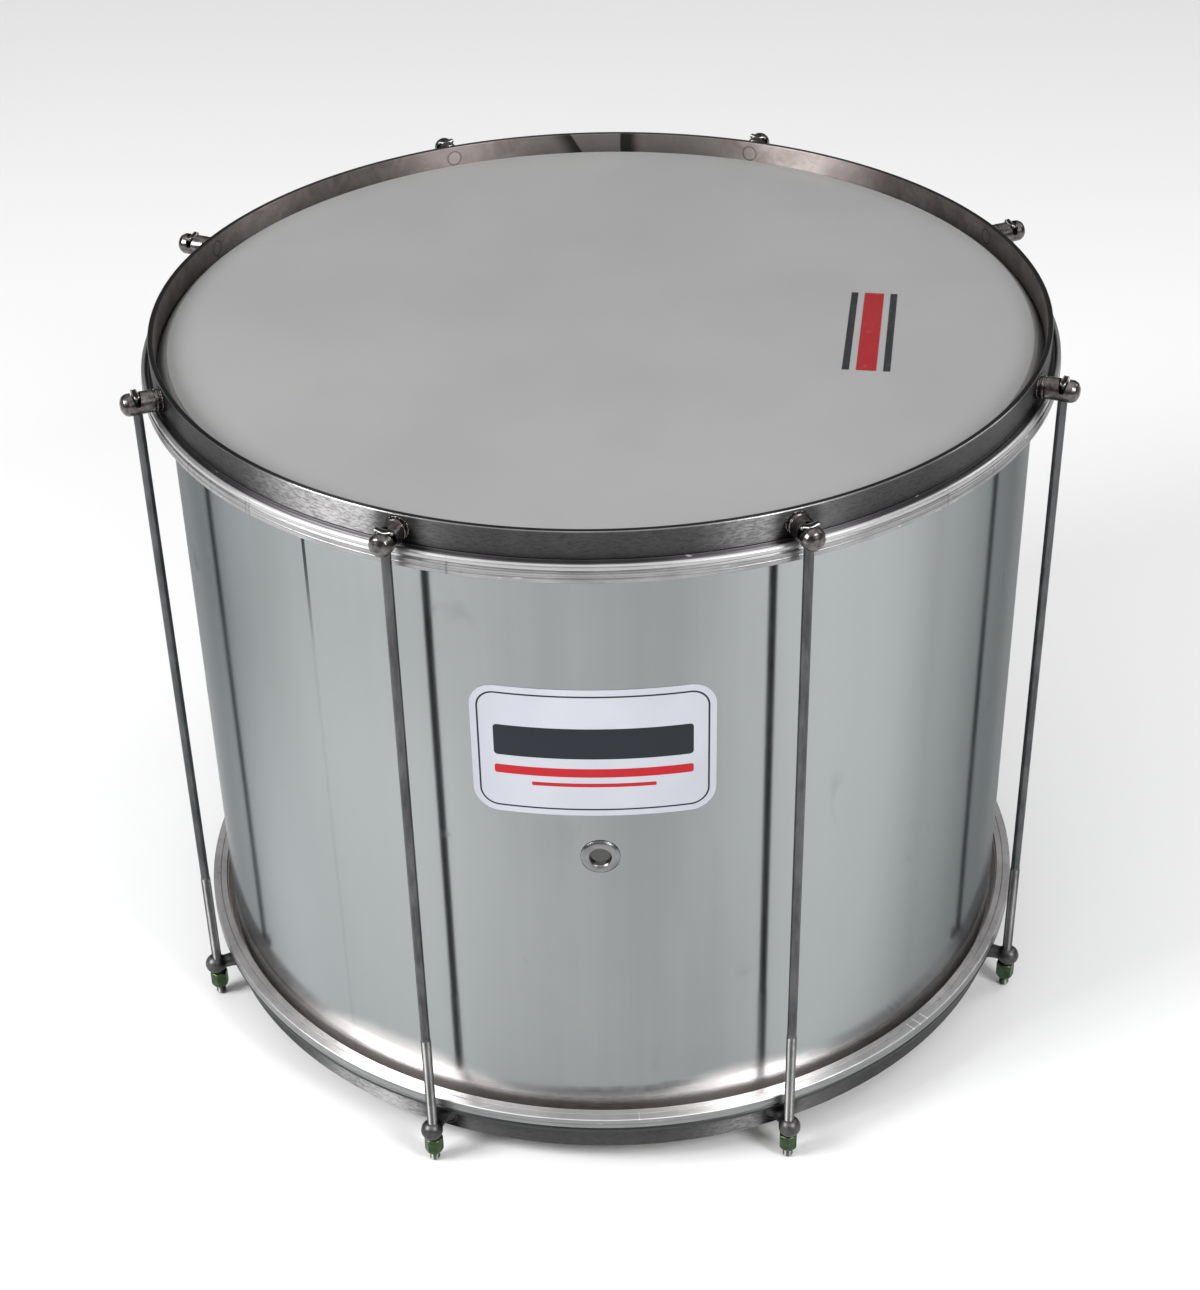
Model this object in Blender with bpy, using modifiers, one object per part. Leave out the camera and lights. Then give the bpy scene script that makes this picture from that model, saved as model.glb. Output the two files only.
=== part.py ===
# A double-headed surdo: a spun aluminium shell with a head at each end. Each
# head is a film held in a flesh hoop, and each flesh hoop is pulled onto the
# shell by a flat-bar counterhoop. Eight T-headed tension rods hang in notched
# posts on the upper counterhoop and pass down through lugs on the lower one,
# where long hex nuts draw them tight. The drum stands on its rod ends.
#
# Frame: metres, +Z up, origin on the floor plane under the drum's centre.
# The vent hole and the label face -Y.

import math

import bmesh
import bpy
from mathutils import Matrix, Vector

MM = 0.001

# ---------------------------------------------------------------- dimensions
GAP = 0.3 * MM                    # air left between touching pieces
SEG = 56                          # facets round each hoop, one centred on each rod
FACET = math.cos(math.pi / SEG)   # mid-facet radius over corner radius

ROD_COUNT = 8
ROD_FIRST_DEG = 22.5
ROD_CIRCLE_R = 275.0 * MM

TOP_RIM_Z = 439.1 * MM            # upper counterhoop's top edge
MID_Z = 227.25 * MM               # the two ends mirror about this height

SHELL_R = 254.0 * MM              # 20 inch shell
SHELL_WALL = 1.2 * MM
SHELL_TOP_Z = 428.3 * MM

FILM_T = 0.3 * MM
FILM_TOP_Z = 428.9 * MM

HOOP_OUT_R = 261.2 * MM           # counterhoop of 15.9 x 3.3 flat bar
HOOP_IN_R = 257.9 * MM
HOOP_H = 15.9 * MM
HOOP_ARRIS = 0.5 * MM

FLESH_OUT_R = 267.1 * MM
FLESH_IN_R = 258.1 * MM
FLESH_BOTTOM_Z = 412.3 * MM
FLESH_TOP_Z = 422.9 * MM

POST_R = 6.35 * MM
POST_TIP_R = 284.0 * MM           # distance of the post's end from the drum axis
POST_Z = 431.2 * MM
POST_HOLE_R = 3.3 * MM
NOTCH_TOP_W = 6.4 * MM
NOTCH_BOTTOM_W = 4.3 * MM
NOTCH_FLOOR = 1.9 * MM            # above the post's axis

ROD_SHANK_R = 2.7 * MM            # rolled-thread shank of an M6 rod
ROD_THREAD_R = 3.0 * MM
ROD_THREAD_TOP_Z = 96.0 * MM
THEAD_R = 1.75 * MM
THEAD_LEN = 11.8 * MM
THEAD_Z = POST_Z + NOTCH_FLOOR + THEAD_R + GAP

LUG_Z = 24.3 * MM
LUG_BALL_X = 276.2 * MM
LUG_BALL_R = 6.5 * MM
LUG_HALF_H = 6.0 * MM
LUG_HOLE_R = 3.4 * MM
LUG_ROOT_HALF_W = 9.0 * MM
LUG_ROOT_HALF_H = 6.6 * MM

NUT_AF = 10.0 * MM
NUT_TOP_Z = 18.0 * MM
NUT_BOTTOM_Z = 5.5 * MM
NUT_HOLE_R = 3.4 * MM

VENT_DEG = -90.46
VENT_Z = 229.1 * MM
VENT_HOLE_R = 6.7 * MM
EYELET_FLANGE_R = 11.0 * MM
EYELET_BARREL_R = 6.3 * MM
EYELET_HOLE_R = 5.7 * MM

LABEL_DEG = -91.0
LABEL_Z = 298.2 * MM
LABEL_W = 131.5 * MM
LABEL_H = 81.8 * MM
LABEL_CORNER = 14.0 * MM
LABEL_T = 0.2 * MM

# ---------------------------------------------------------------- set-up
for old in list(bpy.data.objects):
    bpy.data.objects.remove(old, do_unlink=True)

scene = bpy.context.scene
parts = bpy.data.collections.new("surdo")
cutters = bpy.data.collections.new("surdo_cutters")
scene.collection.children.link(parts)
scene.collection.children.link(cutters)


def material(name, colour, metallic, roughness):
    mat = bpy.data.materials.new(name)
    mat.use_nodes = True
    shader = mat.node_tree.nodes["Principled BSDF"]
    shader.inputs["Base Color"].default_value = (*colour, 1.0)
    shader.inputs["Metallic"].default_value = metallic
    shader.inputs["Roughness"].default_value = roughness
    return mat


def to_matrix(deg, radius=0.0, z=0.0):
    """Local +X pointing outwards at the azimuth deg."""
    a = math.radians(deg)
    return Matrix.Translation((radius * math.cos(a), radius * math.sin(a), z)) @ Matrix.Rotation(a, 4, "Z")


def evaluated_mesh(obj, name):
    bpy.context.view_layer.update()
    graph = bpy.context.evaluated_depsgraph_get()
    mesh = bpy.data.meshes.new_from_object(obj.evaluated_get(graph), depsgraph=graph)
    mesh.name = name
    return mesh


def add(name, mesh, mat, matrix=None, parent=None):
    obj = bpy.data.objects.new(name, mesh)
    parts.objects.link(obj)
    if mat is not None and not mesh.materials:
        mesh.materials.append(mat)
    if parent is not None:
        obj.parent = parent
        obj.matrix_parent_inverse = parent.matrix_world.inverted()
    if matrix is not None:
        loc, rot, _ = matrix.decompose()
        obj.location = loc
        obj.rotation_euler = rot.to_euler()
    return obj


def smooth(mesh, degrees=35.0):
    mesh.shade_smooth()
    mesh.set_sharp_from_angle(angle=math.radians(degrees))


def profile_mesh(name, points, closed):
    mesh = bpy.data.meshes.new(name)
    count = len(points)
    edges = [(i, i + 1) for i in range(count - 1)]
    if closed:
        edges.append((count - 1, 0))
    mesh.from_pydata([(r, 0.0, z) for r, z in points], edges, [])
    return mesh


def screw(obj, steps, degrees=360.0):
    mod = obj.modifiers.new("turn", "SCREW")
    mod.axis = "Z"
    mod.angle = math.radians(degrees)
    mod.steps = steps
    mod.render_steps = steps
    mod.use_merge_vertices = True
    mod.merge_threshold = 0.00001
    mod.use_smooth_shade = False
    return mod


def solidify(obj, thickness):
    mod = obj.modifiers.new("sheet", "SOLIDIFY")
    mod.thickness = thickness
    mod.offset = 0.0
    mod.use_even_offset = True
    return mod


def turned(name, points, mat, steps=SEG, closed=True, thickness=None):
    """A turned piece on the drum axis, as an object with live modifiers."""
    obj = add(name, profile_mesh(name, points, closed), mat)
    screw(obj, steps)
    if thickness is not None:
        solidify(obj, thickness)
    return obj


def turned_mesh(name, points, steps):
    """A turned body as a plain mesh about its own +Z axis."""
    obj = bpy.data.objects.new(name + "_turn", profile_mesh(name + "_profile", points, False))
    cutters.objects.link(obj)
    screw(obj, steps)
    mesh = evaluated_mesh(obj, name)
    bpy.data.objects.remove(obj, do_unlink=True)
    return mesh


def mirrored(points):
    """The same profile at the other end of the drum, still running down its outer side."""
    return [(r, 2.0 * MID_Z - z) for r, z in reversed(points)]


def cutter(name, mesh, matrix=None):
    obj = bpy.data.objects.new(name, mesh)
    cutters.objects.link(obj)
    obj.hide_render = True
    obj.display_type = "WIRE"
    if matrix is not None:
        obj.matrix_world = matrix
    return obj


def cylinder(name, radius, depth, segments, axis="Z"):
    mesh = bpy.data.meshes.new(name)
    bm = bmesh.new()
    bmesh.ops.create_cone(bm, cap_ends=True, segments=segments, radius1=radius, radius2=radius, depth=depth)
    if axis == "X":
        bm.transform(Matrix.Rotation(math.pi / 2, 4, "Y"))
    elif axis == "Y":
        bm.transform(Matrix.Rotation(math.pi / 2, 4, "X"))
    bm.to_mesh(mesh)
    bm.free()
    return mesh


def box(name, size, centre=(0.0, 0.0, 0.0)):
    mesh = bpy.data.meshes.new(name)
    bm = bmesh.new()
    bmesh.ops.create_cube(bm, size=1.0)
    bm.transform(Matrix.Translation(centre) @ Matrix.Diagonal((*size, 1.0)))
    bm.to_mesh(mesh)
    bm.free()
    return mesh


def boolean(obj, tool, operation="DIFFERENCE"):
    mod = obj.modifiers.new(operation.lower(), "BOOLEAN")
    mod.operation = operation
    mod.solver = "EXACT"
    mod.object = tool
    return mod


def combined(name, base, steps):
    """base mesh with each (mesh, matrix, operation) applied, as one mesh."""
    obj = bpy.data.objects.new(name + "_blank", base)
    cutters.objects.link(obj)
    tools = []
    for number, (mesh, matrix, operation) in enumerate(steps):
        tool = cutter(f"{name}_tool_{number}", mesh, matrix)
        tools.append(tool)
        boolean(obj, tool, operation)
    mesh = evaluated_mesh(obj, name)
    for extra in [obj, *tools]:
        bpy.data.objects.remove(extra, do_unlink=True)
    mesh.materials.clear()
    return mesh


# ---------------------------------------------------------------- finishes
aluminium = material("shell_aluminium", (0.62, 0.65, 0.66), 1.0, 0.28)
hoop_steel = material("hoop_steel", (0.22, 0.22, 0.23), 1.0, 0.42)
flesh_metal = material("flesh_hoop_aluminium", (0.52, 0.52, 0.53), 1.0, 0.38)
film = material("head_film", (0.72, 0.72, 0.72), 0.0, 0.30)
post_steel = material("post_steel", (0.36, 0.33, 0.32), 1.0, 0.30)
lug_steel = material("lug_steel", (0.20, 0.19, 0.20), 1.0, 0.40)
rod_steel = material("rod_steel", (0.25, 0.26, 0.27), 1.0, 0.38)
nut_green = material("nut_green", (0.10, 0.22, 0.09), 0.3, 0.45)
nickel = material("eyelet_nickel", (0.60, 0.60, 0.60), 1.0, 0.20)
label_white = material("label_white", (0.85, 0.86, 0.90), 0.0, 0.40)

# ---------------------------------------------------------------- shell
half = SHELL_WALL / 2.0
wall_mid = SHELL_R - half
edge = SHELL_TOP_Z - half
top_edge = [
    (wall_mid - 5.2 * MM, edge - 1.1 * MM),
    (wall_mid - 2.8 * MM, edge),
    (wall_mid - 0.9 * MM, edge - 0.4 * MM),
    (wall_mid, edge - 2.1 * MM),
]
shell = turned("shell", top_edge + mirrored(top_edge), aluminium, closed=False, thickness=SHELL_WALL)
vent_cutter = cutter("vent_cutter", cylinder("vent_cutter", VENT_HOLE_R, 20.0 * MM, 20, "X"),
                     to_matrix(VENT_DEG, SHELL_R, VENT_Z))
boolean(shell, vent_cutter)

# ---------------------------------------------------------------- heads
# the film turns over the shell's edge, slopes out to the flesh hoop and ends
# down inside it
film_mid = FILM_TOP_Z - FILM_T / 2.0
collar_r = FLESH_IN_R - GAP - FILM_T / 2.0
head_line = [
    (0.0, film_mid),
    (SHELL_R - 3.4 * MM, film_mid),
    (SHELL_R - 0.9 * MM, film_mid - 0.4 * MM),
    (SHELL_R + 0.9 * MM, film_mid - 2.4 * MM),
    (collar_r, film_mid - 7.4 * MM),
    (collar_r, FLESH_BOTTOM_Z + 1.5 * MM),
]
turned("top_head", head_line, film, closed=False, thickness=FILM_T)
turned("bottom_head", mirrored(head_line), film, closed=False, thickness=FILM_T)

# ---------------------------------------------------------------- flesh hoops
flesh_profile = [
    (FLESH_IN_R, FLESH_TOP_Z),
    (261.6 * MM, FLESH_TOP_Z),
    (262.8 * MM, FLESH_TOP_Z - 1.7 * MM),
    (264.2 * MM, FLESH_TOP_Z),
    (265.8 * MM, FLESH_TOP_Z),
    (266.6 * MM, FLESH_TOP_Z - 0.9 * MM),
    (FLESH_OUT_R, FLESH_TOP_Z - 3.8 * MM),
    (FLESH_OUT_R, FLESH_BOTTOM_Z + 0.8 * MM),
    (FLESH_OUT_R - 0.8 * MM, FLESH_BOTTOM_Z),
    (FLESH_IN_R, FLESH_BOTTOM_Z),
]
turned("top_flesh_hoop", flesh_profile, flesh_metal)
turned("bottom_flesh_hoop", mirrored(flesh_profile), flesh_metal)

# ---------------------------------------------------------------- counterhoops
hoop_low = TOP_RIM_Z - HOOP_H
hoop_profile = [
    (HOOP_IN_R, TOP_RIM_Z - HOOP_ARRIS),
    (HOOP_IN_R + HOOP_ARRIS, TOP_RIM_Z),
    (HOOP_OUT_R - HOOP_ARRIS, TOP_RIM_Z),
    (HOOP_OUT_R, TOP_RIM_Z - HOOP_ARRIS),
    (HOOP_OUT_R, hoop_low + HOOP_ARRIS),
    (HOOP_OUT_R - HOOP_ARRIS, hoop_low),
    (HOOP_IN_R + HOOP_ARRIS, hoop_low),
    (HOOP_IN_R, hoop_low + HOOP_ARRIS),
]
slide = bpy.data.objects.new("top_hoop_slide", None)
parts.objects.link(slide)
slide.location = (0.0, 0.0, POST_Z)
slide.empty_display_size = 0.05
bpy.context.view_layer.update()

top_hoop = turned("top_counterhoop", hoop_profile, hoop_steel)
top_hoop.parent = slide
top_hoop.matrix_parent_inverse = slide.matrix_world.inverted()
turned("bottom_counterhoop", mirrored(hoop_profile), hoop_steel)

# ---------------------------------------------------------------- vent eyelet
# d is the distance outside the shell's surface; the barrel passes through the
# vent hole and is rolled over inside
eyelet_profile = [
    (EYELET_HOLE_R, 0.5 * MM),
    (6.3 * MM, 1.4 * MM),
    (7.8 * MM, 1.8 * MM),
    (9.9 * MM, 1.4 * MM),
    (EYELET_FLANGE_R, 0.6 * MM),
    (EYELET_FLANGE_R, 0.3 * MM),
    (EYELET_BARREL_R, 0.3 * MM),
    (EYELET_BARREL_R, -2.2 * MM),
    (8.6 * MM, -2.2 * MM),
    (8.2 * MM, -2.8 * MM),
    (EYELET_HOLE_R, -2.8 * MM),
]
eyelet = add("vent_eyelet", profile_mesh("vent_eyelet", eyelet_profile, True), nickel)
screw(eyelet, 18)
eyelet.location = to_matrix(VENT_DEG, SHELL_R, VENT_Z).translation
eyelet.rotation_euler = (to_matrix(VENT_DEG) @ Matrix.Rotation(math.pi / 2, 4, "Y")).to_euler()

# ---------------------------------------------------------------- label
# a thin plate bent round the shell, cut to a round-cornered rectangle
facet_deg = 360.0 / SEG
label_start = facet_deg * math.floor((LABEL_DEG - 16.0) / facet_deg)
label_r = SHELL_R + GAP + LABEL_T / 2.0
label_half = LABEL_H / 2.0 + 3.0 * MM
label = add("shell_label", profile_mesh("shell_label", [(label_r, LABEL_Z + label_half), (label_r, LABEL_Z - label_half)], False),
            label_white)
screw(label, 6, 6 * facet_deg)
solidify(label, LABEL_T)
label.rotation_euler = (0.0, 0.0, math.radians(label_start))
label_cut_mesh = bpy.data.meshes.new("label_cutter")
bm = bmesh.new()
bmesh.ops.create_cube(bm, size=1.0)
bm.transform(Matrix.Diagonal((60.0 * MM, LABEL_W, LABEL_H, 1.0)))
corner_edges = [e for e in bm.edges if abs((e.verts[0].co - e.verts[1].co).normalized().x) > 0.9]
bmesh.ops.bevel(bm, geom=corner_edges, offset=LABEL_CORNER, offset_type="OFFSET", segments=4, profile=0.5, affect="EDGES")
bm.to_mesh(label_cut_mesh)
bm.free()
label_cutter = cutter("label_cutter", label_cut_mesh, to_matrix(LABEL_DEG, SHELL_R, LABEL_Z))
boolean(label, label_cutter, "INTERSECT")

# ---------------------------------------------------------------- posts
# a turned stub standing out of the counterhoop, drilled for the rod and
# notched across its crown for the rod's T-head
post_len = POST_TIP_R - HOOP_OUT_R * FACET - GAP
post_profile = [
    (0.0, post_len),
    (3.6 * MM, post_len - 0.4 * MM),
    (5.4 * MM, post_len - 1.6 * MM),
    (POST_R, post_len - 3.4 * MM),
    (POST_R, 3.9 * MM),
    (5.7 * MM, 3.3 * MM),
    (5.7 * MM, 2.7 * MM),
    (POST_R, 2.1 * MM),
    (POST_R, 0.0),
    (0.0, 0.0),
]
post_blank = turned_mesh("top_post", post_profile, 14)
post_blank.transform(Matrix.Rotation(math.pi / 2, 4, "Y"))       # axis along local +X
post_base_r = POST_TIP_R - post_len
rod_x = ROD_CIRCLE_R - post_base_r
notch = bpy.data.meshes.new("notch")
bm = bmesh.new()
bmesh.ops.create_cube(bm, size=1.0)
notch_h = 8.0 * MM
for v in bm.verts:
    grow = v.co.z + 0.5                                           # 0 at the floor, 1 at the top
    slope = (NOTCH_TOP_W - NOTCH_BOTTOM_W) / (POST_R - NOTCH_FLOOR)
    v.co.x *= NOTCH_BOTTOM_W + slope * notch_h * grow
    v.co.y *= 20.0 * MM
    v.co.z = NOTCH_FLOOR + notch_h * grow
bm.to_mesh(notch)
bm.free()
post_mesh = combined("top_post", post_blank, [
    (cylinder("post_hole", POST_HOLE_R, 30.0 * MM, 12), Matrix.Translation((rod_x, 0.0, 0.0)), "DIFFERENCE"),
    (notch, Matrix.Translation((rod_x, 0.0, 0.0)), "DIFFERENCE"),
])
post_mesh.materials.append(post_steel)
smooth(post_mesh)

# ---------------------------------------------------------------- rods
rod_profile = [
    (0.0, THEAD_Z),
    (ROD_SHANK_R, THEAD_Z),
    (ROD_SHANK_R, ROD_THREAD_TOP_Z + 0.5 * MM),
    (ROD_THREAD_R, ROD_THREAD_TOP_Z),
    (ROD_THREAD_R, 1.0 * MM),
    (ROD_THREAD_R - 0.8 * MM, 0.0),
    (0.0, 0.0),
]
rod_blank = turned_mesh("tension_rod", rod_profile, 10)
head_bar = turned_mesh("rod_head", [
    (0.0, THEAD_LEN / 2.0),
    (1.1 * MM, THEAD_LEN / 2.0 - 0.2 * MM),
    (THEAD_R, THEAD_LEN / 2.0 - 1.0 * MM),
    (THEAD_R, -THEAD_LEN / 2.0 + 1.0 * MM),
    (1.1 * MM, -THEAD_LEN / 2.0 + 0.2 * MM),
    (0.0, -THEAD_LEN / 2.0),
], 8)
head_bar.transform(Matrix.Rotation(math.pi / 2, 4, "X"))         # across the rod, along local Y
rod_mesh = combined("tension_rod", rod_blank, [
    (head_bar, Matrix.Translation((0.0, 0.0, THEAD_Z)), "UNION"),
])
rod_mesh.materials.append(rod_steel)
smooth(rod_mesh)

# ---------------------------------------------------------------- lugs
# a forged arm growing out of the lower counterhoop to a ball round the rod
lug_base_r = HOOP_OUT_R * FACET + GAP
ball_x = LUG_BALL_X - lug_base_r
lug_line = [(LUG_BALL_R * math.sin(t), ball_x + LUG_BALL_R * math.cos(t))
            for t in [math.radians(d) for d in (28.0, 60.0, 90.0, 118.0)]]
lug_profile = [(0.0, ball_x + LUG_BALL_R)] + lug_line + [
    (4.7 * MM, 5.4 * MM),
    (5.6 * MM, 2.6 * MM),
    (LUG_ROOT_HALF_W, 0.0),
    (0.0, 0.0),
]
lug_blank = turned_mesh("bottom_lug", lug_profile, 12)
lug_blank.transform(Matrix.Rotation(math.pi / 2, 4, "Y"))
for v in lug_blank.vertices:
    # the root is wider than it is tall, and the ball has small flats above and below
    root = max(0.0, 1.0 - v.co.x / (5.4 * MM))
    v.co.z *= 1.0 + root * (LUG_ROOT_HALF_H / LUG_ROOT_HALF_W - 1.0)
    v.co.z = max(-LUG_HALF_H, min(LUG_HALF_H, v.co.z))
lug_mesh = combined("bottom_lug", lug_blank, [
    (cylinder("lug_hole", LUG_HOLE_R, 30.0 * MM, 14), Matrix.Translation((ROD_CIRCLE_R - lug_base_r, 0.0, 0.0)), "DIFFERENCE"),
    (box("lug_trim", (60.0 * MM, 60.0 * MM, 2.0 * LUG_HALF_H - 0.02 * MM)), None, "INTERSECT"),
])
lug_mesh.materials.append(lug_steel)
smooth(lug_mesh)

# ---------------------------------------------------------------- nuts
nut_h = NUT_TOP_Z - NUT_BOTTOM_Z
corner_r = NUT_AF / 2.0 / math.cos(math.pi / 6.0)
nut_blank = cylinder("hex_nut", corner_r, nut_h, 6)
chamfer = turned_mesh("nut_chamfer", [
    (0.0, nut_h / 2.0 + 0.02 * MM),
    (corner_r - 0.9 * MM, nut_h / 2.0 + 0.02 * MM),
    (corner_r + 0.6 * MM, nut_h / 2.0 - 0.9 * MM),
    (corner_r + 0.6 * MM, -nut_h / 2.0 + 0.9 * MM),
    (corner_r - 0.9 * MM, -nut_h / 2.0 - 0.02 * MM),
    (0.0, -nut_h / 2.0 - 0.02 * MM),
], 12)
nut_mesh = combined("hex_nut", nut_blank, [
    (chamfer, None, "INTERSECT"),
    (cylinder("nut_hole", NUT_HOLE_R, 30.0 * MM, 14), None, "DIFFERENCE"),
])
nut_mesh.materials.append(nut_green)
smooth(nut_mesh, 25.0)

# ---------------------------------------------------------------- round the drum
for k in range(ROD_COUNT):
    deg = ROD_FIRST_DEG + k * 360.0 / ROD_COUNT
    n = k + 1
    add(f"top_post_{n}", post_mesh, post_steel, to_matrix(deg, post_base_r, POST_Z), slide)
    add(f"tension_rod_{n}", rod_mesh, rod_steel, to_matrix(deg, ROD_CIRCLE_R, 0.0), slide)
    add(f"bottom_lug_{n}", lug_mesh, lug_steel, to_matrix(deg, lug_base_r, LUG_Z))
    add(f"hex_nut_{n}", nut_mesh, nut_green, to_matrix(deg, ROD_CIRCLE_R, (NUT_TOP_Z + NUT_BOTTOM_Z) / 2.0))

bpy.context.view_layer.update()
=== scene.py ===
import math

import bmesh
import bpy
import numpy as np
from mathutils import Matrix, Vector


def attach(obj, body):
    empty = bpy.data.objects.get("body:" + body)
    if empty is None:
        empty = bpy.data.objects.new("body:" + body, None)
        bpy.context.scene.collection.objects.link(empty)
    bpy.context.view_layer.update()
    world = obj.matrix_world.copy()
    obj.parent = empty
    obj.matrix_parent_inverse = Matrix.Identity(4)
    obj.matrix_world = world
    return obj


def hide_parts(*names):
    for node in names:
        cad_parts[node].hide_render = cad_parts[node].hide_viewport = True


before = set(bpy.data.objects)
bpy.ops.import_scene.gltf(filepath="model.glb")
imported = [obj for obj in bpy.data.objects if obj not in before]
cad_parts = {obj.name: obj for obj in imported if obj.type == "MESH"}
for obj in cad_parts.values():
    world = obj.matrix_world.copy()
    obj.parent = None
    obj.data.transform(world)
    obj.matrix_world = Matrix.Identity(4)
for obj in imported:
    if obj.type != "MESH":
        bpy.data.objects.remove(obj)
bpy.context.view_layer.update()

MM = 0.001
TAU = 2.0 * math.pi

# ------------------------------------------------------------------ sizes, mm
ROUND = 384                      # columns round each ring
ROD_COUNT = 8
ROD_FIRST = 22.5
ROD_R = 275.0
TOP_Z = 439.1
MID_Z = 227.25
SHELL_R = 254.0
SHELL_WALL = 1.2
SHELL_TOP = 428.3
FILM_TOP = 428.9
FILM_T = 0.3
HOOP_OUT = 261.2
HOOP_IN = 257.9
HOOP_H = 15.9
FLESH_IN = 258.1
FLESH_OUT = 267.1
FLESH_LOW = 412.3
FLESH_HIGH = 422.9
POST_Z = 431.2
POST_R = 6.35
POST_TIP = 284.0
LUG_Z = 24.3
LUG_BALL_X = 276.2
NUT_HIGH = 18.0
NUT_FOOT = 6.5
VENT_DEG = -90.46
VENT_Z = 229.1
VENT_R = 6.7
LABEL_DEG = -91.0
LABEL_Z = 298.2
LABEL_W = 131.5
LABEL_H = 81.8
LABEL_CORNER = 14.0
SHELL_SEAM = 232.5               # where the rolled sheet's two edges meet
HOOP_SEAM = 91.2                 # where the bar of each counterhoop is welded
FLESH_SEAM = 97.0


# ------------------------------------------------------------------ mesh tools
def new_object(name, verts, faces, mats, sharp=40.0, mm=True):
    mesh = bpy.data.meshes.new(name)
    co = np.asarray(verts, float) * (MM if mm else 1.0)
    mesh.from_pydata([tuple(v) for v in co], [], faces)
    mesh.validate(verbose=False)
    mesh.update()
    obj = bpy.data.objects.new(name, mesh)
    bpy.context.scene.collection.objects.link(obj)
    for m in mats if isinstance(mats, (list, tuple)) else [mats]:
        mesh.materials.append(m)
    shade(mesh, sharp)
    return obj


def shade(mesh, sharp):
    mesh.shade_smooth()
    mesh.set_sharp_from_angle(angle=math.radians(sharp))


def outward(mesh):
    bm = bmesh.new()
    bm.from_mesh(mesh)
    bmesh.ops.recalc_face_normals(bm, faces=bm.faces)
    bm.to_mesh(mesh)
    bm.free()


def rounded(corners, closed=True, arc=5, hold=0.25):
    """Profile points with each (r, z, fillet) corner rounded, and a holding point on the flat beside it."""
    pts = []
    n = len(corners)
    for i, (r, z, f) in enumerate(corners):
        p = np.array((r, z), float)
        if f <= 0 or (not closed and i in (0, n - 1)):
            pts.append(p)
            continue
        a = np.array(corners[i - 1][:2], float)
        b = np.array(corners[(i + 1) % n][:2], float)
        u, v = a - p, b - p
        lu, lv = np.linalg.norm(u), np.linalg.norm(v)
        u, v = u / lu, v / lv
        angle = math.acos(max(-1.0, min(1.0, float(u @ v))))
        t = min(f / math.tan(angle / 2), 0.46 * lu, 0.46 * lv)
        f = t * math.tan(angle / 2)
        centre = p + (u + v) / np.linalg.norm(u + v) * (f / math.sin(angle / 2))
        start, end = p + u * t, p + v * t
        slack_u = min(hold * f, 0.03 * lu)
        slack_v = min(hold * f, 0.03 * lv)
        pts.append(start + u * slack_u)
        a0 = math.atan2(*(start - centre)[::-1])
        a1 = math.atan2(*(end - centre)[::-1])
        d = (a1 - a0 + math.pi) % TAU - math.pi
        for k in range(arc + 1):
            w = a0 + d * k / arc
            pts.append(centre + f * np.array((math.cos(w), math.sin(w))))
        pts.append(end + v * slack_v)
    return [(float(q[0]), float(q[1])) for q in pts]


def mirror(points):
    return [(p[0], 2 * MID_Z - p[1], *p[2:]) for p in reversed(points)]


def ring(name, loop, mat, columns=ROUND, closed=True, wobble=None, sharp=40.0, start=0.0):
    """A turned ring about the drum's axis. wobble(angle, r, z) moves a point by (dr, dz)."""
    n = len(loop)
    verts = []
    for i in range(columns):
        a = start + TAU * i / columns
        c, s = math.cos(a), math.sin(a)
        for r, z in loop:
            if wobble is not None:
                dr, dz = wobble(a, r, z)
                r, z = r + dr, z + dz
            verts.append((r * c, r * s, z))
    faces = []
    last = n if closed else n - 1
    for i in range(columns):
        j = (i + 1) % columns
        for k in range(last):
            m = (k + 1) % n
            faces.append((i * n + k, j * n + k, j * n + m, i * n + m))
    obj = new_object(name, verts, faces, mat, sharp)
    outward(obj.data)
    return obj


def lathe(points, steps):
    """Verts and faces of a solid turned about +X from (x, r) points that start and end on the axis."""
    verts = [(points[0][0], 0.0, 0.0)]
    body = points[1:-1]
    for x, r in body:
        for i in range(steps):
            a = TAU * i / steps
            verts.append((x, r * math.cos(a), r * math.sin(a)))
    verts.append((points[-1][0], 0.0, 0.0))
    faces = []
    for i in range(steps):
        j = (i + 1) % steps
        faces.append((0, 1 + j, 1 + i))
        for k in range(len(body) - 1):
            p, q = 1 + k * steps, 1 + (k + 1) * steps
            faces.append((p + i, p + j, q + j, q + i))
        end = 1 + (len(body) - 1) * steps
        faces.append((end + i, end + j, len(verts) - 1))
    return verts, faces


def plain_mesh(name, verts, faces):
    mesh = bpy.data.meshes.new(name)
    mesh.from_pydata([tuple(v) for v in verts], [], faces)
    mesh.update()
    outward(mesh)
    return mesh


def carve(name, base, steps):
    """base with each (mesh, operation) applied by exact booleans, all in the same millimetre space."""
    made = []

    def temp(mesh, label):
        o = bpy.data.objects.new(label, mesh)
        bpy.context.scene.collection.objects.link(o)
        made.append(o)
        return o

    blank = temp(base, name + "_blank")
    for i, (tool, operation) in enumerate(steps):
        mod = blank.modifiers.new(f"cut{i}", "BOOLEAN")
        mod.operation = operation
        mod.solver = "EXACT"
        mod.object = temp(tool, f"{name}_tool{i}")
    bpy.context.view_layer.update()
    graph = bpy.context.evaluated_depsgraph_get()
    mesh = bpy.data.meshes.new_from_object(blank.evaluated_get(graph), depsgraph=graph)
    mesh.name = name
    for o in made:
        bpy.data.objects.remove(o, do_unlink=True)
    mesh.materials.clear()
    return mesh


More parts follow.
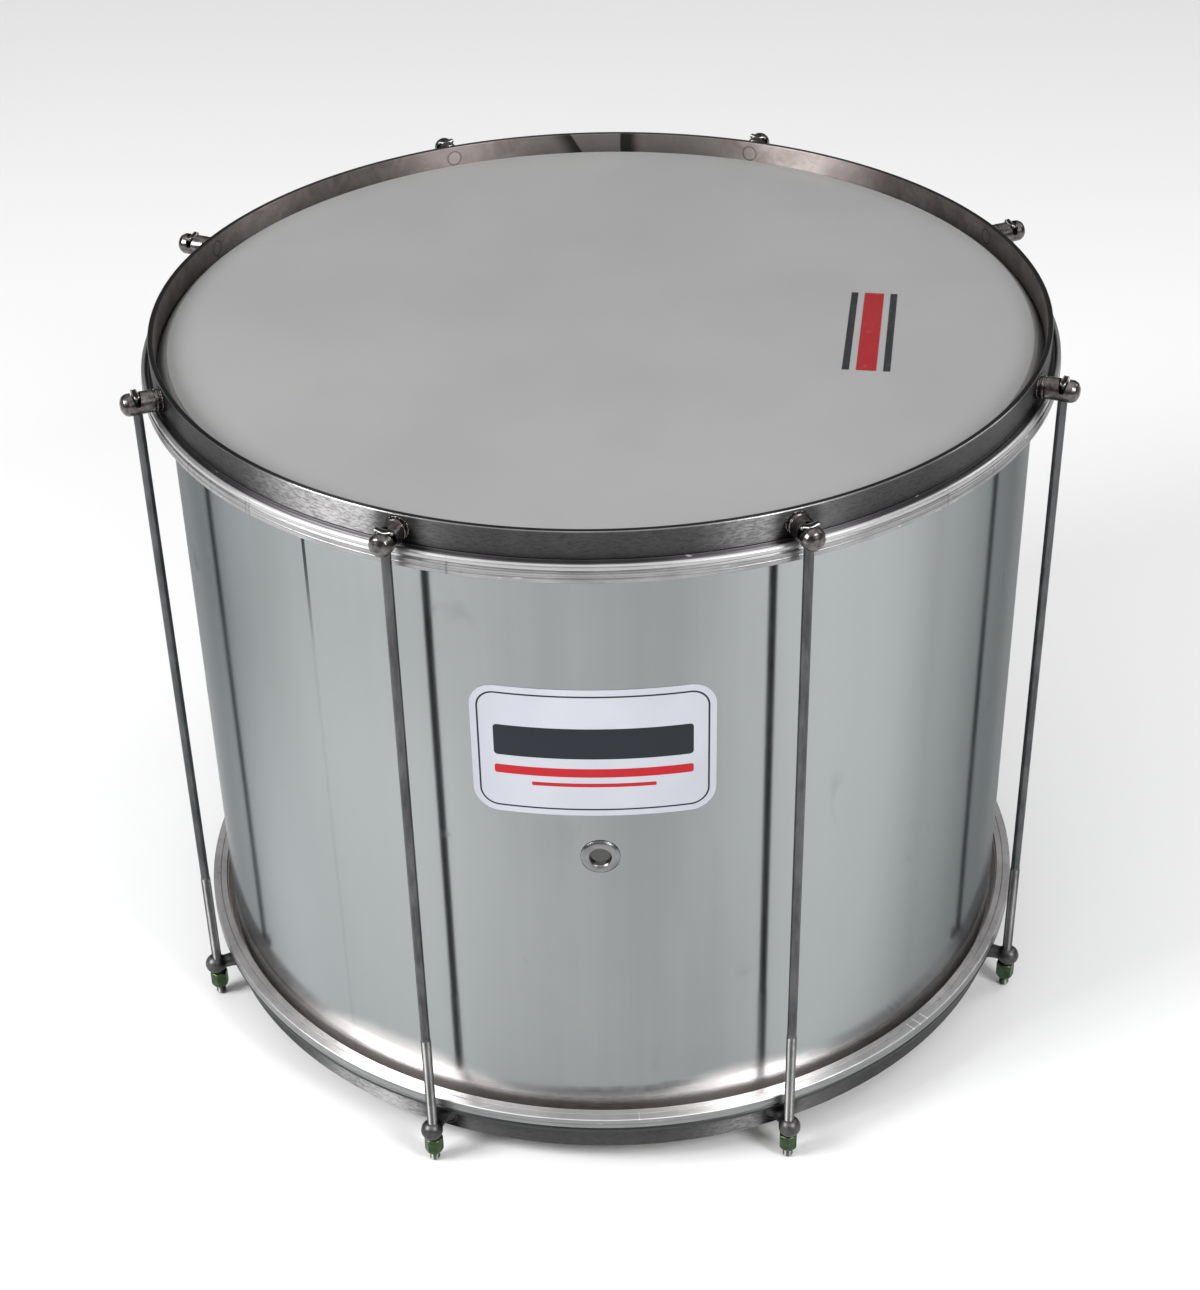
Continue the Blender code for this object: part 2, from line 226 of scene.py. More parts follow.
def place(name, mesh, mat, matrix, sharp=40.0):
    """A copy of a millimetre mesh, moved by matrix into the shared frame."""
    copy = mesh.copy()
    copy.name = name
    copy.transform(Matrix.Scale(MM, 4) @ matrix)
    copy.materials.clear()
    copy.materials.append(mat)
    shade(copy, sharp)
    obj = bpy.data.objects.new(name, copy)
    bpy.context.scene.collection.objects.link(obj)
    return obj


def at(deg, radius=0.0, z=0.0):
    a = math.radians(deg)
    return Matrix.Translation((radius * math.cos(a), radius * math.sin(a), z)) @ Matrix.Rotation(a, 4, "Z")


def ease(x):
    x = max(0.0, min(1.0, x))
    return x * x * (3 - 2 * x)


def ripple(a, *terms):
    """A smooth wave round the drum from (cycles, size, phase) terms."""
    return sum(size * math.sin(cycles * a + phase) for cycles, size, phase in terms)


# ------------------------------------------------------------------ node tools
class Look:
    """A material and short calls for the nodes it needs."""

    def __init__(self, name, metallic=0.0, roughness=0.4):
        self.mat = bpy.data.materials.new(name)
        self.mat.use_nodes = True
        self.tree = self.mat.node_tree
        self.bsdf = self.tree.nodes["Principled BSDF"]
        self.bsdf.inputs["Metallic"].default_value = metallic
        self.bsdf.inputs["Roughness"].default_value = roughness
        self.coords = self.tree.nodes.new("ShaderNodeTexCoord").outputs["Object"]

    def put(self, socket, value):
        if isinstance(value, bpy.types.NodeSocket):
            self.tree.links.new(value, socket)
        else:
            socket.default_value = value

    def set(self, **values):
        for key, value in values.items():
            self.put(self.bsdf.inputs[key.replace("_", " ")], value)

    def math(self, op, a, b=0.0, c=0.0, clamp=False):
        node = self.tree.nodes.new("ShaderNodeMath")
        node.operation = op
        node.use_clamp = clamp
        self.put(node.inputs[0], a)
        self.put(node.inputs[1], b)
        self.put(node.inputs[2], c)
        return node.outputs[0]

    def split(self, vector):
        node = self.tree.nodes.new("ShaderNodeSeparateXYZ")
        self.put(node.inputs[0], vector)
        return node.outputs[0], node.outputs[1], node.outputs[2]

    def vec(self, x=0.0, y=0.0, z=0.0):
        node = self.tree.nodes.new("ShaderNodeCombineXYZ")
        for socket, value in zip(node.inputs, (x, y, z)):
            self.put(socket, value)
        return node.outputs[0]

    def noise(self, vector, scale, detail=2.0, rough=0.5, bend=0.0):
        node = self.tree.nodes.new("ShaderNodeTexNoise")
        self.put(node.inputs["Vector"], vector)
        node.inputs["Scale"].default_value = scale
        node.inputs["Detail"].default_value = detail
        node.inputs["Roughness"].default_value = rough
        node.inputs["Distortion"].default_value = bend
        return node.outputs[0]

    def cells(self, vector, scale):
        node = self.tree.nodes.new("ShaderNodeTexVoronoi")
        self.put(node.inputs["Vector"], vector)
        node.inputs["Scale"].default_value = scale
        return node.outputs["Distance"]

    def band(self, value, low, high, to_low=0.0, to_high=1.0):
        node = self.tree.nodes.new("ShaderNodeMapRange")
        node.interpolation_type = "SMOOTHSTEP"
        self.put(node.inputs["Value"], value)
        node.inputs["From Min"].default_value = low
        node.inputs["From Max"].default_value = high
        node.inputs["To Min"].default_value = to_low
        node.inputs["To Max"].default_value = to_high
        return node.outputs[0]

    def mix(self, fac, a, b):
        node = self.tree.nodes.new("ShaderNodeMix")
        node.data_type = "RGBA"
        self.put(node.inputs[0], fac)
        self.put(node.inputs[6], (*a, 1.0) if isinstance(a, tuple) else a)
        self.put(node.inputs[7], (*b, 1.0) if isinstance(b, tuple) else b)
        return node.outputs[2]

    def bump(self, height, distance, strength=1.0, normal=None):
        node = self.tree.nodes.new("ShaderNodeBump")
        node.inputs["Strength"].default_value = strength
        node.inputs["Distance"].default_value = distance
        self.put(node.inputs["Height"], height)
        if normal is not None:
            self.put(node.inputs["Normal"], normal)
        return node.outputs[0]

    def round_coords(self, wrap):
        """(arc length in m, height in m, radius in m), with the join of the arc at azimuth wrap."""
        x, y, z = self.split(self.coords)
        w = math.radians(wrap - 180.0)
        c, s = math.cos(w), math.sin(w)
        u = self.math("ADD", self.math("MULTIPLY", x, c), self.math("MULTIPLY", y, s))
        v = self.math("SUBTRACT", self.math("MULTIPLY", y, c), self.math("MULTIPLY", x, s))
        angle = self.math("ARCTAN2", v, u)
        radius = self.math("SQRT", self.math("ADD", self.math("MULTIPLY", x, x), self.math("MULTIPLY", y, y)))
        self.angle = angle
        return self.math("MULTIPLY", angle, 0.26), z, radius

    def near_rods(self, z0):
        """Distance in m, over the wall of the drum, to the nearest rod's foot at height z0."""
        x, y, z = self.split(self.coords)
        angle = self.math("ARCTAN2", y, x)
        step = TAU / ROD_COUNT
        turn = self.math("SUBTRACT", self.math("DIVIDE", angle, step), 0.5)
        off = self.math("MULTIPLY", self.math("SUBTRACT", turn, self.math("ROUND", turn)), step * 0.261)
        dz = self.math("SUBTRACT", z, z0)
        return self.math("SQRT", self.math("ADD", self.math("MULTIPLY", off, off), self.math("MULTIPLY", dz, dz)))

    def turned_grain(self, amount):
        """Highlights drawn out across a grain that runs round the drum."""
        node = self.tree.nodes.new("ShaderNodeTangent")
        node.direction_type = "RADIAL"
        node.axis = "Z"
        self.tree.links.new(node.outputs[0], self.bsdf.inputs["Tangent"])
        self.bsdf.inputs["Anisotropic"].default_value = amount
        self.bsdf.inputs["Anisotropic Rotation"].default_value = 0.25


# ------------------------------------------------------------------ finishes
def shell_look():
    k = Look("shell_aluminium_finish", 1.0)
    s, z, radius = k.round_coords(SHELL_SEAM)
    wide = k.noise(k.vec(s, k.math("MULTIPLY", z, 0.12)), 11.0, 2.0, 0.45)
    streak = k.noise(k.vec(s, k.math("MULTIPLY", z, 0.03)), 75.0, 3.0, 0.55)
    hair = k.noise(k.vec(s, k.math("MULTIPLY", z, 0.012)), 900.0, 2.0, 0.6)
    cloud = k.noise(k.coords, 9.0, 3.0, 0.55)
    smear = k.noise(k.vec(k.math("MULTIPLY", s, 1.0), k.math("MULTIPLY", z, 0.8)), 24.0, 3.0, 0.6, 0.5)
    tone = k.math("ADD", k.math("MULTIPLY", wide, 0.62), k.math("MULTIPLY", streak, 0.18))
    tone = k.math("ADD", tone, k.math("MULTIPLY", cloud, 0.20))
    tone = k.math("ADD", tone, k.math("MULTIPLY", hair, 0.04))
    colour = k.mix(k.band(tone, 0.36, 0.76), (0.214, 0.228, 0.231), (0.280, 0.297, 0.301))
    azimuth = k.math("ARCTAN2", k.split(k.coords)[1], k.split(k.coords)[0])

    def hump(middle, half):
        off = k.math("ABSOLUTE", k.math("SUBTRACT", azimuth, math.radians(middle)))
        return k.band(off, math.radians(half), math.radians(half * 0.15))

    # painted highlights: lighter patches on the front quarters where the lamps' reflections fall
    painted_highlight_zones = k.math("MULTIPLY", hump(-122.0, 28.0), k.band(z, 0.400, 0.230, 0.30, 1.0))
    painted_highlight_zones = k.math("MAXIMUM", painted_highlight_zones, hump(-58.0, 22.0))
    painted_highlight_zones = k.math("MAXIMUM", painted_highlight_zones, k.math("MULTIPLY", hump(-36.0, 16.0), 0.85))
    painted_highlight_zones = k.math("MAXIMUM", painted_highlight_zones, k.math("MULTIPLY", hump(-150.0, 18.0), k.band(z, 0.360, 0.120, 0.0, 0.9)))
    # painted shade: darker patches on the left and right sides, which are also rougher
    dull = k.math("MAXIMUM", k.math("MULTIPLY", hump(-166.0, 14.0), k.band(z, 0.10, 0.36, 0.2, 0.85)), k.math("MULTIPLY", hump(-13.0, 12.0), 0.65))
    colour = k.mix(k.math("MULTIPLY", painted_highlight_zones, 0.75), colour, (0.365, 0.386, 0.390))
    # painted light: a lighter patch low on the left side
    painted_glow_left = k.math("MULTIPLY", hump(-145.0, 19.0), k.band(z, 0.330, 0.110))
    colour = k.mix(k.math("MULTIPLY", painted_glow_left, 0.60), colour, (0.520, 0.545, 0.550))
    colour = k.mix(k.math("MULTIPLY", dull, 0.55), colour, (0.085, 0.095, 0.105))
    marks = k.band(smear, 0.66, 0.78)
    colour = k.mix(k.math("MULTIPLY", marks, 0.24), colour, (0.15, 0.158, 0.163))
    # a lighter, warmer, duller strip just above the lower hoop with darker handling marks; at the two front quarters it
    # rises and turns near-white, a painted reflection of the lower hoop's highlights
    rise = k.math("ADD", k.math("MULTIPLY", hump(-120.0, 20.0), 0.0145), k.math("MULTIPLY", hump(-72.0, 12.0), 0.0086))
    rise = k.math("ADD", rise, k.math("MULTIPLY", k.math("SUBTRACT", smear, 0.5), 0.003))
    rise = k.math("ADD", rise, k.math("MULTIPLY", k.math("SUBTRACT", streak, 0.5), 0.002))
    rise = k.math("ADD", rise, k.math("MULTIPLY", hump(-150.0, 18.0), 0.0160))
    soft = k.math("MAXIMUM", hump(-122.0, 26.0), hump(-70.0, 20.0))
    low = k.mix(soft, k.vec(*[k.band(k.math("SUBTRACT", z, rise), 0.0525, 0.0470)] * 3), k.vec(*[k.band(k.math("SUBTRACT", z, rise), 0.0580, 0.0440)] * 3))
    low = k.split(low)[0]
    scrubbed = k.mix(k.band(streak, 0.30, 0.70), (0.410, 0.395, 0.390), (0.480, 0.465, 0.458))
    rubs = k.noise(k.vec(k.math("MULTIPLY", s, 0.22), z, radius), 560.0, 4.0, 0.65, 0.3)
    scrubbed = k.mix(k.math("MULTIPLY", k.band(rubs, 0.46, 0.62), 0.50), scrubbed, (0.26, 0.250, 0.246))
    colour = k.mix(k.math("MULTIPLY", low, 0.88), colour, k.mix(soft, scrubbed, (0.70, 0.675, 0.665)))
    # painted shade: a dark, blurred band low on the front of the shell
    painted_dark_band = k.math("MULTIPLY", k.band(k.math("ABSOLUTE", k.math("SUBTRACT", k.math("SUBTRACT", z, 0.0546), k.math("MULTIPLY", k.math("SUBTRACT", smear, 0.5), 0.010))), 0.0034, 0.0012), hump(-87.0, 14.0))
    painted_dark_band = k.math("MULTIPLY", painted_dark_band, k.band(streak, 0.36, 0.56, 0.35, 1.0))
    colour = k.mix(k.math("MULTIPLY", painted_dark_band, 0.55), colour, (0.095, 0.092, 0.092))
    seam = k.band(k.math("ABSOLUTE", k.angle), math.pi - 0.0056, math.pi - 0.0034)
    seam = k.math("MULTIPLY", seam, k.band(z, 0.325, 0.398, 0.08, 1.0))
    colour = k.mix(k.math("MULTIPLY", seam, 0.92), colour, (0.030, 0.032, 0.034))
    rough = k.math("ADD", 0.105, k.math("MULTIPLY", cloud, 0.06))
    rough = k.math("ADD", rough, k.math("MULTIPLY", marks, 0.10))
    rough = k.math("ADD", rough, k.math("MULTIPLY", dull, 0.20))
    rough = k.math("ADD", rough, k.math("MULTIPLY", k.band(z, 0.074, 0.046), 0.13))
    rough = k.math("ADD", rough, k.math("MULTIPLY", k.band(z, 0.0490, 0.0450), 0.16))
    # the inner face is the mill finish, bright
    colour = k.mix(k.band(radius, (SHELL_R - 0.3) * MM, (SHELL_R - 0.8) * MM), colour, (0.74, 0.745, 0.75))
    k.set(Base_Color=colour, Roughness=rough)
    k.bsdf.inputs["Specular Tint"].default_value = (0.44, 0.46, 0.465, 1.0)
    waves = k.math("ADD", k.math("MULTIPLY", wide, 1.0), k.math("MULTIPLY", streak, 0.06))
    normal = k.bump(waves, 0.00035, 0.62)
    normal = k.bump(hair, 0.000003, 0.3, normal)
    normal = k.bump(k.math("MULTIPLY", seam, -1.0), 0.0002, 0.6, normal)
    k.set(Normal=normal)
    return k.mat


def hoop_look(name, z0, z_mid, flat):
    """Rolled and welded steel bar under a thin dull plating."""
    k = Look(name, 1.0)
    s, z, radius = k.round_coords(HOOP_SEAM)
    grain = k.noise(k.vec(k.math("MULTIPLY", s, 0.42), z, radius), 2300.0, 3.0, 0.65)
    specks = k.noise(k.coords, 1300.0, 2.0, 0.7)
    patch = k.noise(k.vec(s, k.math("MULTIPLY", z, 0.7), radius), 26.0, 3.0, 0.6)
    long_patch = k.noise(k.vec(s, 0.0, 0.0), 7.0, 2.0, 0.5)
    tone = k.math("ADD", k.math("MULTIPLY", patch, 0.6), k.math("MULTIPLY", long_patch, 0.5))
    colour = k.mix(k.band(tone, 0.36, 0.78), (0.082, 0.082, 0.084), (0.130, 0.129, 0.130))
    colour = k.mix(k.math("MULTIPLY", k.band(grain, 0.42, 0.68), 0.30), colour, (0.165, 0.162, 0.160))
    scratch = k.noise(k.vec(k.math("MULTIPLY", s, 0.24), z, radius), 1050.0, 4.0, 0.70, 0.4)
    colour = k.mix(k.math("MULTIPLY", k.band(scratch, 0.50, 0.66), 0.26), colour, (0.150, 0.148, 0.148))
    colour = k.mix(k.math("MULTIPLY", k.band(scratch, 0.50, 0.36), 0.36), colour, (0.036, 0.036, 0.037))
    # painted highlights: lighter patches, broken up by scratches, where the lamps' reflections fall on the wall
    azimuth = k.math("ARCTAN2", k.split(k.coords)[1], k.split(k.coords)[0])
    for middle, half, amount in ((-122.0, 17.0, 0.75), (-71.0, 9.0, 0.45), (-152.0, 8.0, 0.14)):
        off = k.math("ABSOLUTE", k.math("SUBTRACT", azimuth, math.radians(middle)))
        worn = k.math("MULTIPLY", k.band(off, math.radians(half), math.radians(half * 0.25)), k.band(k.math("ADD", k.math("MULTIPLY", scratch, 0.9), k.math("MULTIPLY", patch, 0.3)), 0.50, 0.72, 0.22, 1.0))
        colour = k.mix(k.math("MULTIPLY", worn, amount), colour, (0.34, 0.335, 0.335))
    colour = k.mix(k.math("MULTIPLY", k.band(specks, 0.66, 0.80), 0.6), colour, (0.022, 0.021, 0.021))
    inside = k.band(radius, (HOOP_IN + 1.3) * MM, (HOOP_IN + 1.1) * MM)
    # painted light: the inner wall is a lighter, warmer copy of the steel
    wall = k.mix(k.band(tone, 0.36, 0.78), (0.300, 0.263, 0.251), (0.400, 0.358, 0.344))
    blot = k.noise(k.coords, 75.0, 4.0, 0.65, 0.6)
    wall = k.mix(k.band(blot, 0.30, 0.72, 0.0, 0.65), wall, (0.165, 0.138, 0.130))
    # painted reflection: lighter patch on the inner wall at the back and darker patches either side
    for middle, half, amount, tint in ((86.0, 20.0, 0.55, (0.50, 0.455, 0.440)), (113.5, 10.0, 0.60, (0.175, 0.150, 0.142)), (48.0, 10.0, 0.60, (0.165, 0.140, 0.133))):
        off = k.math("ABSOLUTE", k.math("SUBTRACT", azimuth, math.radians(middle)))
        wall = k.mix(k.math("MULTIPLY", k.band(off, math.radians(half), math.radians(half * 0.35)), amount), wall, tint)
    wall = k.mix(k.math("MULTIPLY", k.band(specks, 0.60, 0.80), 0.5), wall, (0.11, 0.09, 0.085))
    colour = k.mix(inside, colour, wall)
    # dark heat tint round each weld outside, spread wide as a painted shadow of each post on the wall, and the end of
    # each stub as a faint disc inside
    heat = k.near_rods(z0)
    outside = k.math("SUBTRACT", 1.0, inside)
    colour = k.mix(k.math("MULTIPLY", k.band(heat, 0.0190, 0.0085, 0.0, 0.80), outside), colour, (0.016, 0.015, 0.015))
    disc = k.band(k.math("ABSOLUTE", k.math("SUBTRACT", heat, 0.0046)), 0.0007, 0.0003)
    colour = k.mix(k.math("MULTIPLY", k.math("MULTIPLY", disc, inside), 0.65), colour, (0.075, 0.06, 0.055))
    colour = k.mix(k.math("MULTIPLY", k.math("MULTIPLY", k.band(heat, 0.0046, 0.0036), inside), 0.35), colour, (0.34, 0.31, 0.295))
    # the butt weld: a paler ground patch between two burnt edges
    arc = k.math("SUBTRACT", math.pi * 0.26, k.math("ABSOLUTE", s))
    signed = k.math("MULTIPLY", k.math("MULTIPLY", k.math("SIGN", s), -1.0), arc)
    uneven = k.math("MULTIPLY", k.math("SUBTRACT", patch, 0.5), 0.006)
    slant = k.math("ADD", k.math("SUBTRACT", signed, k.math("MULTIPLY", k.math("SUBTRACT", z, z_mid), 0.58)), uneven)
    first = k.math("MULTIPLY", k.band(slant, 0.0102, 0.0116), k.band(slant, 0.0275, 0.0125))
    straight = k.math("ADD", signed, uneven)
    second = k.math("MULTIPLY", k.band(straight, -0.0176, -0.0190), k.band(straight, -0.0335, -0.0245))
    ground = k.math("MULTIPLY", k.band(straight, -0.0180, -0.0160), k.band(slant, 0.0110, 0.0095))
    colour = k.mix(k.math("MULTIPLY", ground, 0.30), colour, (0.40, 0.365, 0.355))
    burnt = k.math("MAXIMUM", first, second)
    colour = k.mix(k.math("MULTIPLY", burnt, 0.92), colour, (0.042, 0.039, 0.032))
    # the four arrises are painted bright as highlight lines and made smoother; the top face takes the colour flat,
    # which on the upper hoop is near-black painted shade beside the head
    from_edge = k.math("MINIMUM",
                       k.math("SUBTRACT", k.math("ABSOLUTE", k.math("SUBTRACT", z, z_mid)), (HOOP_H / 2 - 0.62) * MM),
                       k.math("SUBTRACT", k.math("ABSOLUTE", k.math("SUBTRACT", radius, (HOOP_IN + HOOP_OUT) / 2 * MM)), 1.05 * MM))
    up = k.math("SUBTRACT", z, z_mid)
    top_face = k.math("MULTIPLY", k.band(up, (HOOP_H / 2 - 0.45) * MM, (HOOP_H / 2 - 0.12) * MM), 0.90)
    colour = k.mix(top_face, colour, flat)
    rubbed_arris_highlight = k.band(from_edge, 0.0, 0.00018)
    rubbed_arris_highlight = k.math("MULTIPLY", rubbed_arris_highlight, k.band(radius, (HOOP_OUT - 0.80) * MM, (HOOP_OUT - 0.55) * MM, 0.10, 1.0))
    rubbed_arris_highlight = k.math("MULTIPLY", rubbed_arris_highlight, k.band(up, -0.001, 0.001, 0.30, 1.0))
    rubbed_arris_highlight = k.math("MULTIPLY", rubbed_arris_highlight, k.band(patch, 0.30, 0.60, 0.55, 1.0))
    colour = k.mix(k.math("MULTIPLY", rubbed_arris_highlight, 0.85), colour, (0.38, 0.378, 0.382) if flat[0] < 0.1 else (0.22, 0.235, 0.23))
    rough = k.math("ADD", 0.44, k.math("MULTIPLY", patch, 0.12))
    rough = k.math("SUBTRACT", rough, k.math("MULTIPLY", rubbed_arris_highlight, 0.12))
    rough = k.math("SUBTRACT", rough, k.math("MULTIPLY", top_face, 0.16))
    k.set(Base_Color=colour, Roughness=rough)
    k.turned_grain(0.95)
    normal = k.bump(patch, 0.0003, 0.20)
    normal = k.bump(grain, 0.00005, 0.50, normal)
    normal = k.bump(scratch, 0.00006, 0.40, normal)
    normal = k.bump(specks, 0.00005, 0.45, normal)
    k.set(Normal=normal)
    return k.mat


def flesh_look():
    """Drawn aluminium channel, fine lines along its length."""
    k = Look("flesh_hoop_finish", 1.0)
    s, z, radius = k.round_coords(FLESH_SEAM)
    lines = k.noise(k.vec(k.math("MULTIPLY", s, 0.02), z, radius), 2400.0, 3.0, 0.6)
    patch = k.noise(k.vec(s, z, radius), 30.0, 3.0, 0.6)
    scuff = k.noise(k.vec(k.math("MULTIPLY", s, 0.35), z, radius), 420.0, 2.0, 0.6)
    colour = k.mix(k.band(patch, 0.32, 0.70), (0.255, 0.253, 0.257), (0.360, 0.356, 0.360))
    colour = k.mix(k.math("MULTIPLY", k.band(lines, 0.40, 0.72), 0.25), colour, (0.48, 0.475, 0.475))
    colour = k.mix(k.math("MULTIPLY", k.band(scuff, 0.62, 0.76), 0.40), colour, (0.15, 0.142, 0.142))
    # painted shade in the corner beside the counterhoop, a bright highlight line painted along the inner arris, and
    # short bright scratches
    out_from_mid = k.math("ABSOLUTE", k.math("SUBTRACT", z, MID_Z * MM))
    corner = k.math("MULTIPLY", k.band(radius, 0.26435, 0.2638), k.band(out_from_mid, (FLESH_HIGH - MID_Z - 3.1) * MM, (FLESH_HIGH - MID_Z - 2.6) * MM))
    colour = k.mix(k.math("MULTIPLY", corner, 0.85), colour, (0.055, 0.050, 0.055))
    arris = k.math("MULTIPLY", k.band(radius, 0.25905, 0.2587), k.band(out_from_mid, (FLESH_LOW - MID_Z + 1.0) * MM, (FLESH_LOW - MID_Z + 0.6) * MM))
    colour = k.mix(k.math("MULTIPLY", arris, 0.70), colour, (0.86, 0.85, 0.85))
    nick = k.noise(k.vec(k.math("MULTIPLY", s, 0.11), k.math("MULTIPLY", z, 1.0), radius), 900.0, 1.0, 0.5)
    colour = k.mix(k.math("MULTIPLY", k.band(nick, 0.735, 0.775), 0.80), colour, (0.80, 0.79, 0.79))
    # painted shade: three dark lines round the upper ring's wall for the shade of fine grooves
    for drop, half, amount in ((4.7, 0.16, 0.62), (6.3, 0.10, 0.40), (7.9, 0.14, 0.50)):
        line = k.band(k.math("ABSOLUTE", k.math("SUBTRACT", out_from_mid, (FLESH_HIGH - MID_Z - drop) * MM)), (half + 0.10) * MM, half * MM)
        line = k.math("MULTIPLY", k.math("MULTIPLY", line, k.band(radius, 0.2628, 0.2634)), k.band(z, MID_Z * MM - 0.001, MID_Z * MM + 0.001))
        colour = k.mix(k.math("MULTIPLY", line, amount), colour, (0.090, 0.085, 0.086))
    join = k.band(k.math("ABSOLUTE", k.angle), math.pi - 0.0024, math.pi - 0.0010)
    colour = k.mix(k.math("MULTIPLY", join, 0.75), colour, (0.12, 0.12, 0.12))
    lower = k.band(z, MID_Z * MM + 0.001, MID_Z * MM - 0.001)
    floor_side = (2 * MID_Z - FLESH_HIGH) * MM
    face = k.math("MULTIPLY", lower, k.band(z, (2 * MID_Z - FLESH_LOW - 0.55) * MM, (2 * MID_Z - FLESH_LOW - 0.30) * MM))
    worn = k.mix(k.band(patch, 0.32, 0.70), (0.50, 0.482, 0.484), (0.66, 0.640, 0.642))
    worn = k.mix(k.math("MULTIPLY", k.band(lines, 0.45, 0.72), 0.35), worn, (0.31, 0.292, 0.294))
    worn = k.mix(k.math("MULTIPLY", k.band(scuff, 0.60, 0.74), 0.45), worn, (0.19, 0.178, 0.180))
    azimuth = k.math("ARCTAN2", k.split(k.coords)[1], k.split(k.coords)[0])
    # painted highlight: the lower ring's face is painted near-white towards the front
    painted_front_highlight = k.band(k.math("ABSOLUTE", k.math("ADD", azimuth, math.radians(90.0))), math.radians(42.0), math.radians(24.0))
    worn = k.mix(k.math("MULTIPLY", painted_front_highlight, 0.62), worn, (0.94, 0.915, 0.918))
    colour = k.mix(k.math("MULTIPLY", face, 0.90), colour, worn)
    dents = None
    for middle in (-46.2, -44.9, -43.4, -86.3):
        off = k.math("ABSOLUTE", k.math("SUBTRACT", azimuth, math.radians(middle)))
        one = k.band(off, math.radians(0.16), math.radians(0.06))
        dents = one if dents is None else k.math("MAXIMUM", dents, one)
    dents = k.math("MULTIPLY", k.math("MULTIPLY", dents, face), k.band(radius, 0.2600, 0.2612))
    colour = k.mix(k.math("MULTIPLY", dents, 0.75), colour, (0.96, 0.95, 0.95))
    # short cross marks where the upper ring was knocked
    ticks = None
    for middle in (-145.6, -140.3, -133.5, -132.9, -106.4, -47.2, -38.6, 61.0, 148.0):
        off = k.math("ABSOLUTE", k.math("SUBTRACT", azimuth, math.radians(middle)))
        one = k.band(off, math.radians(0.20), math.radians(0.07))
        ticks = one if ticks is None else k.math("MAXIMUM", ticks, one)
    ticks = k.math("MULTIPLY", k.math("MULTIPLY", ticks, k.math("SUBTRACT", 1.0, lower)), k.band(lines, 0.35, 0.60, 0.3, 1.0))
    colour = k.mix(k.math("MULTIPLY", ticks, 0.60), colour, (0.115, 0.100, 0.092))
    side = k.math("MULTIPLY", lower, k.math("SUBTRACT", 1.0, face))
    colour = k.mix(k.math("MULTIPLY", side, 0.55), colour, (0.215, 0.235, 0.230))
    # painted shade: the lowest part of the lower ring is painted near-black
    under = k.math("MULTIPLY", lower, k.band(z, floor_side + 0.0050, floor_side + 0.0044))
    colour = k.mix(k.math("MULTIPLY", under, 0.88), colour, (0.030, 0.030, 0.031))
    # painted highlight along the crown of the upper ring's bead
    crown = k.math("MULTIPLY", k.band(z, (FLESH_HIGH - 3.2) * MM, (FLESH_HIGH - 2.6) * MM), k.band(radius, 0.26435, 0.2650))
    colour = k.mix(k.math("MULTIPLY", crown, 0.60), colour, (0.60, 0.60, 0.60))
    rough = k.math("ADD", 0.34, k.math("MULTIPLY", patch, 0.14))
    rough = k.math("ADD", rough, k.math("MULTIPLY", face, 0.04))
    k.set(Base_Color=colour, Roughness=rough)
    k.turned_grain(0.45)
    normal = k.bump(lines, 0.00003, 0.35)
    normal = k.bump(k.math("MULTIPLY", join, -1.0), 0.00025, 0.7, normal)
    k.set(Normal=normal)
    return k.mat


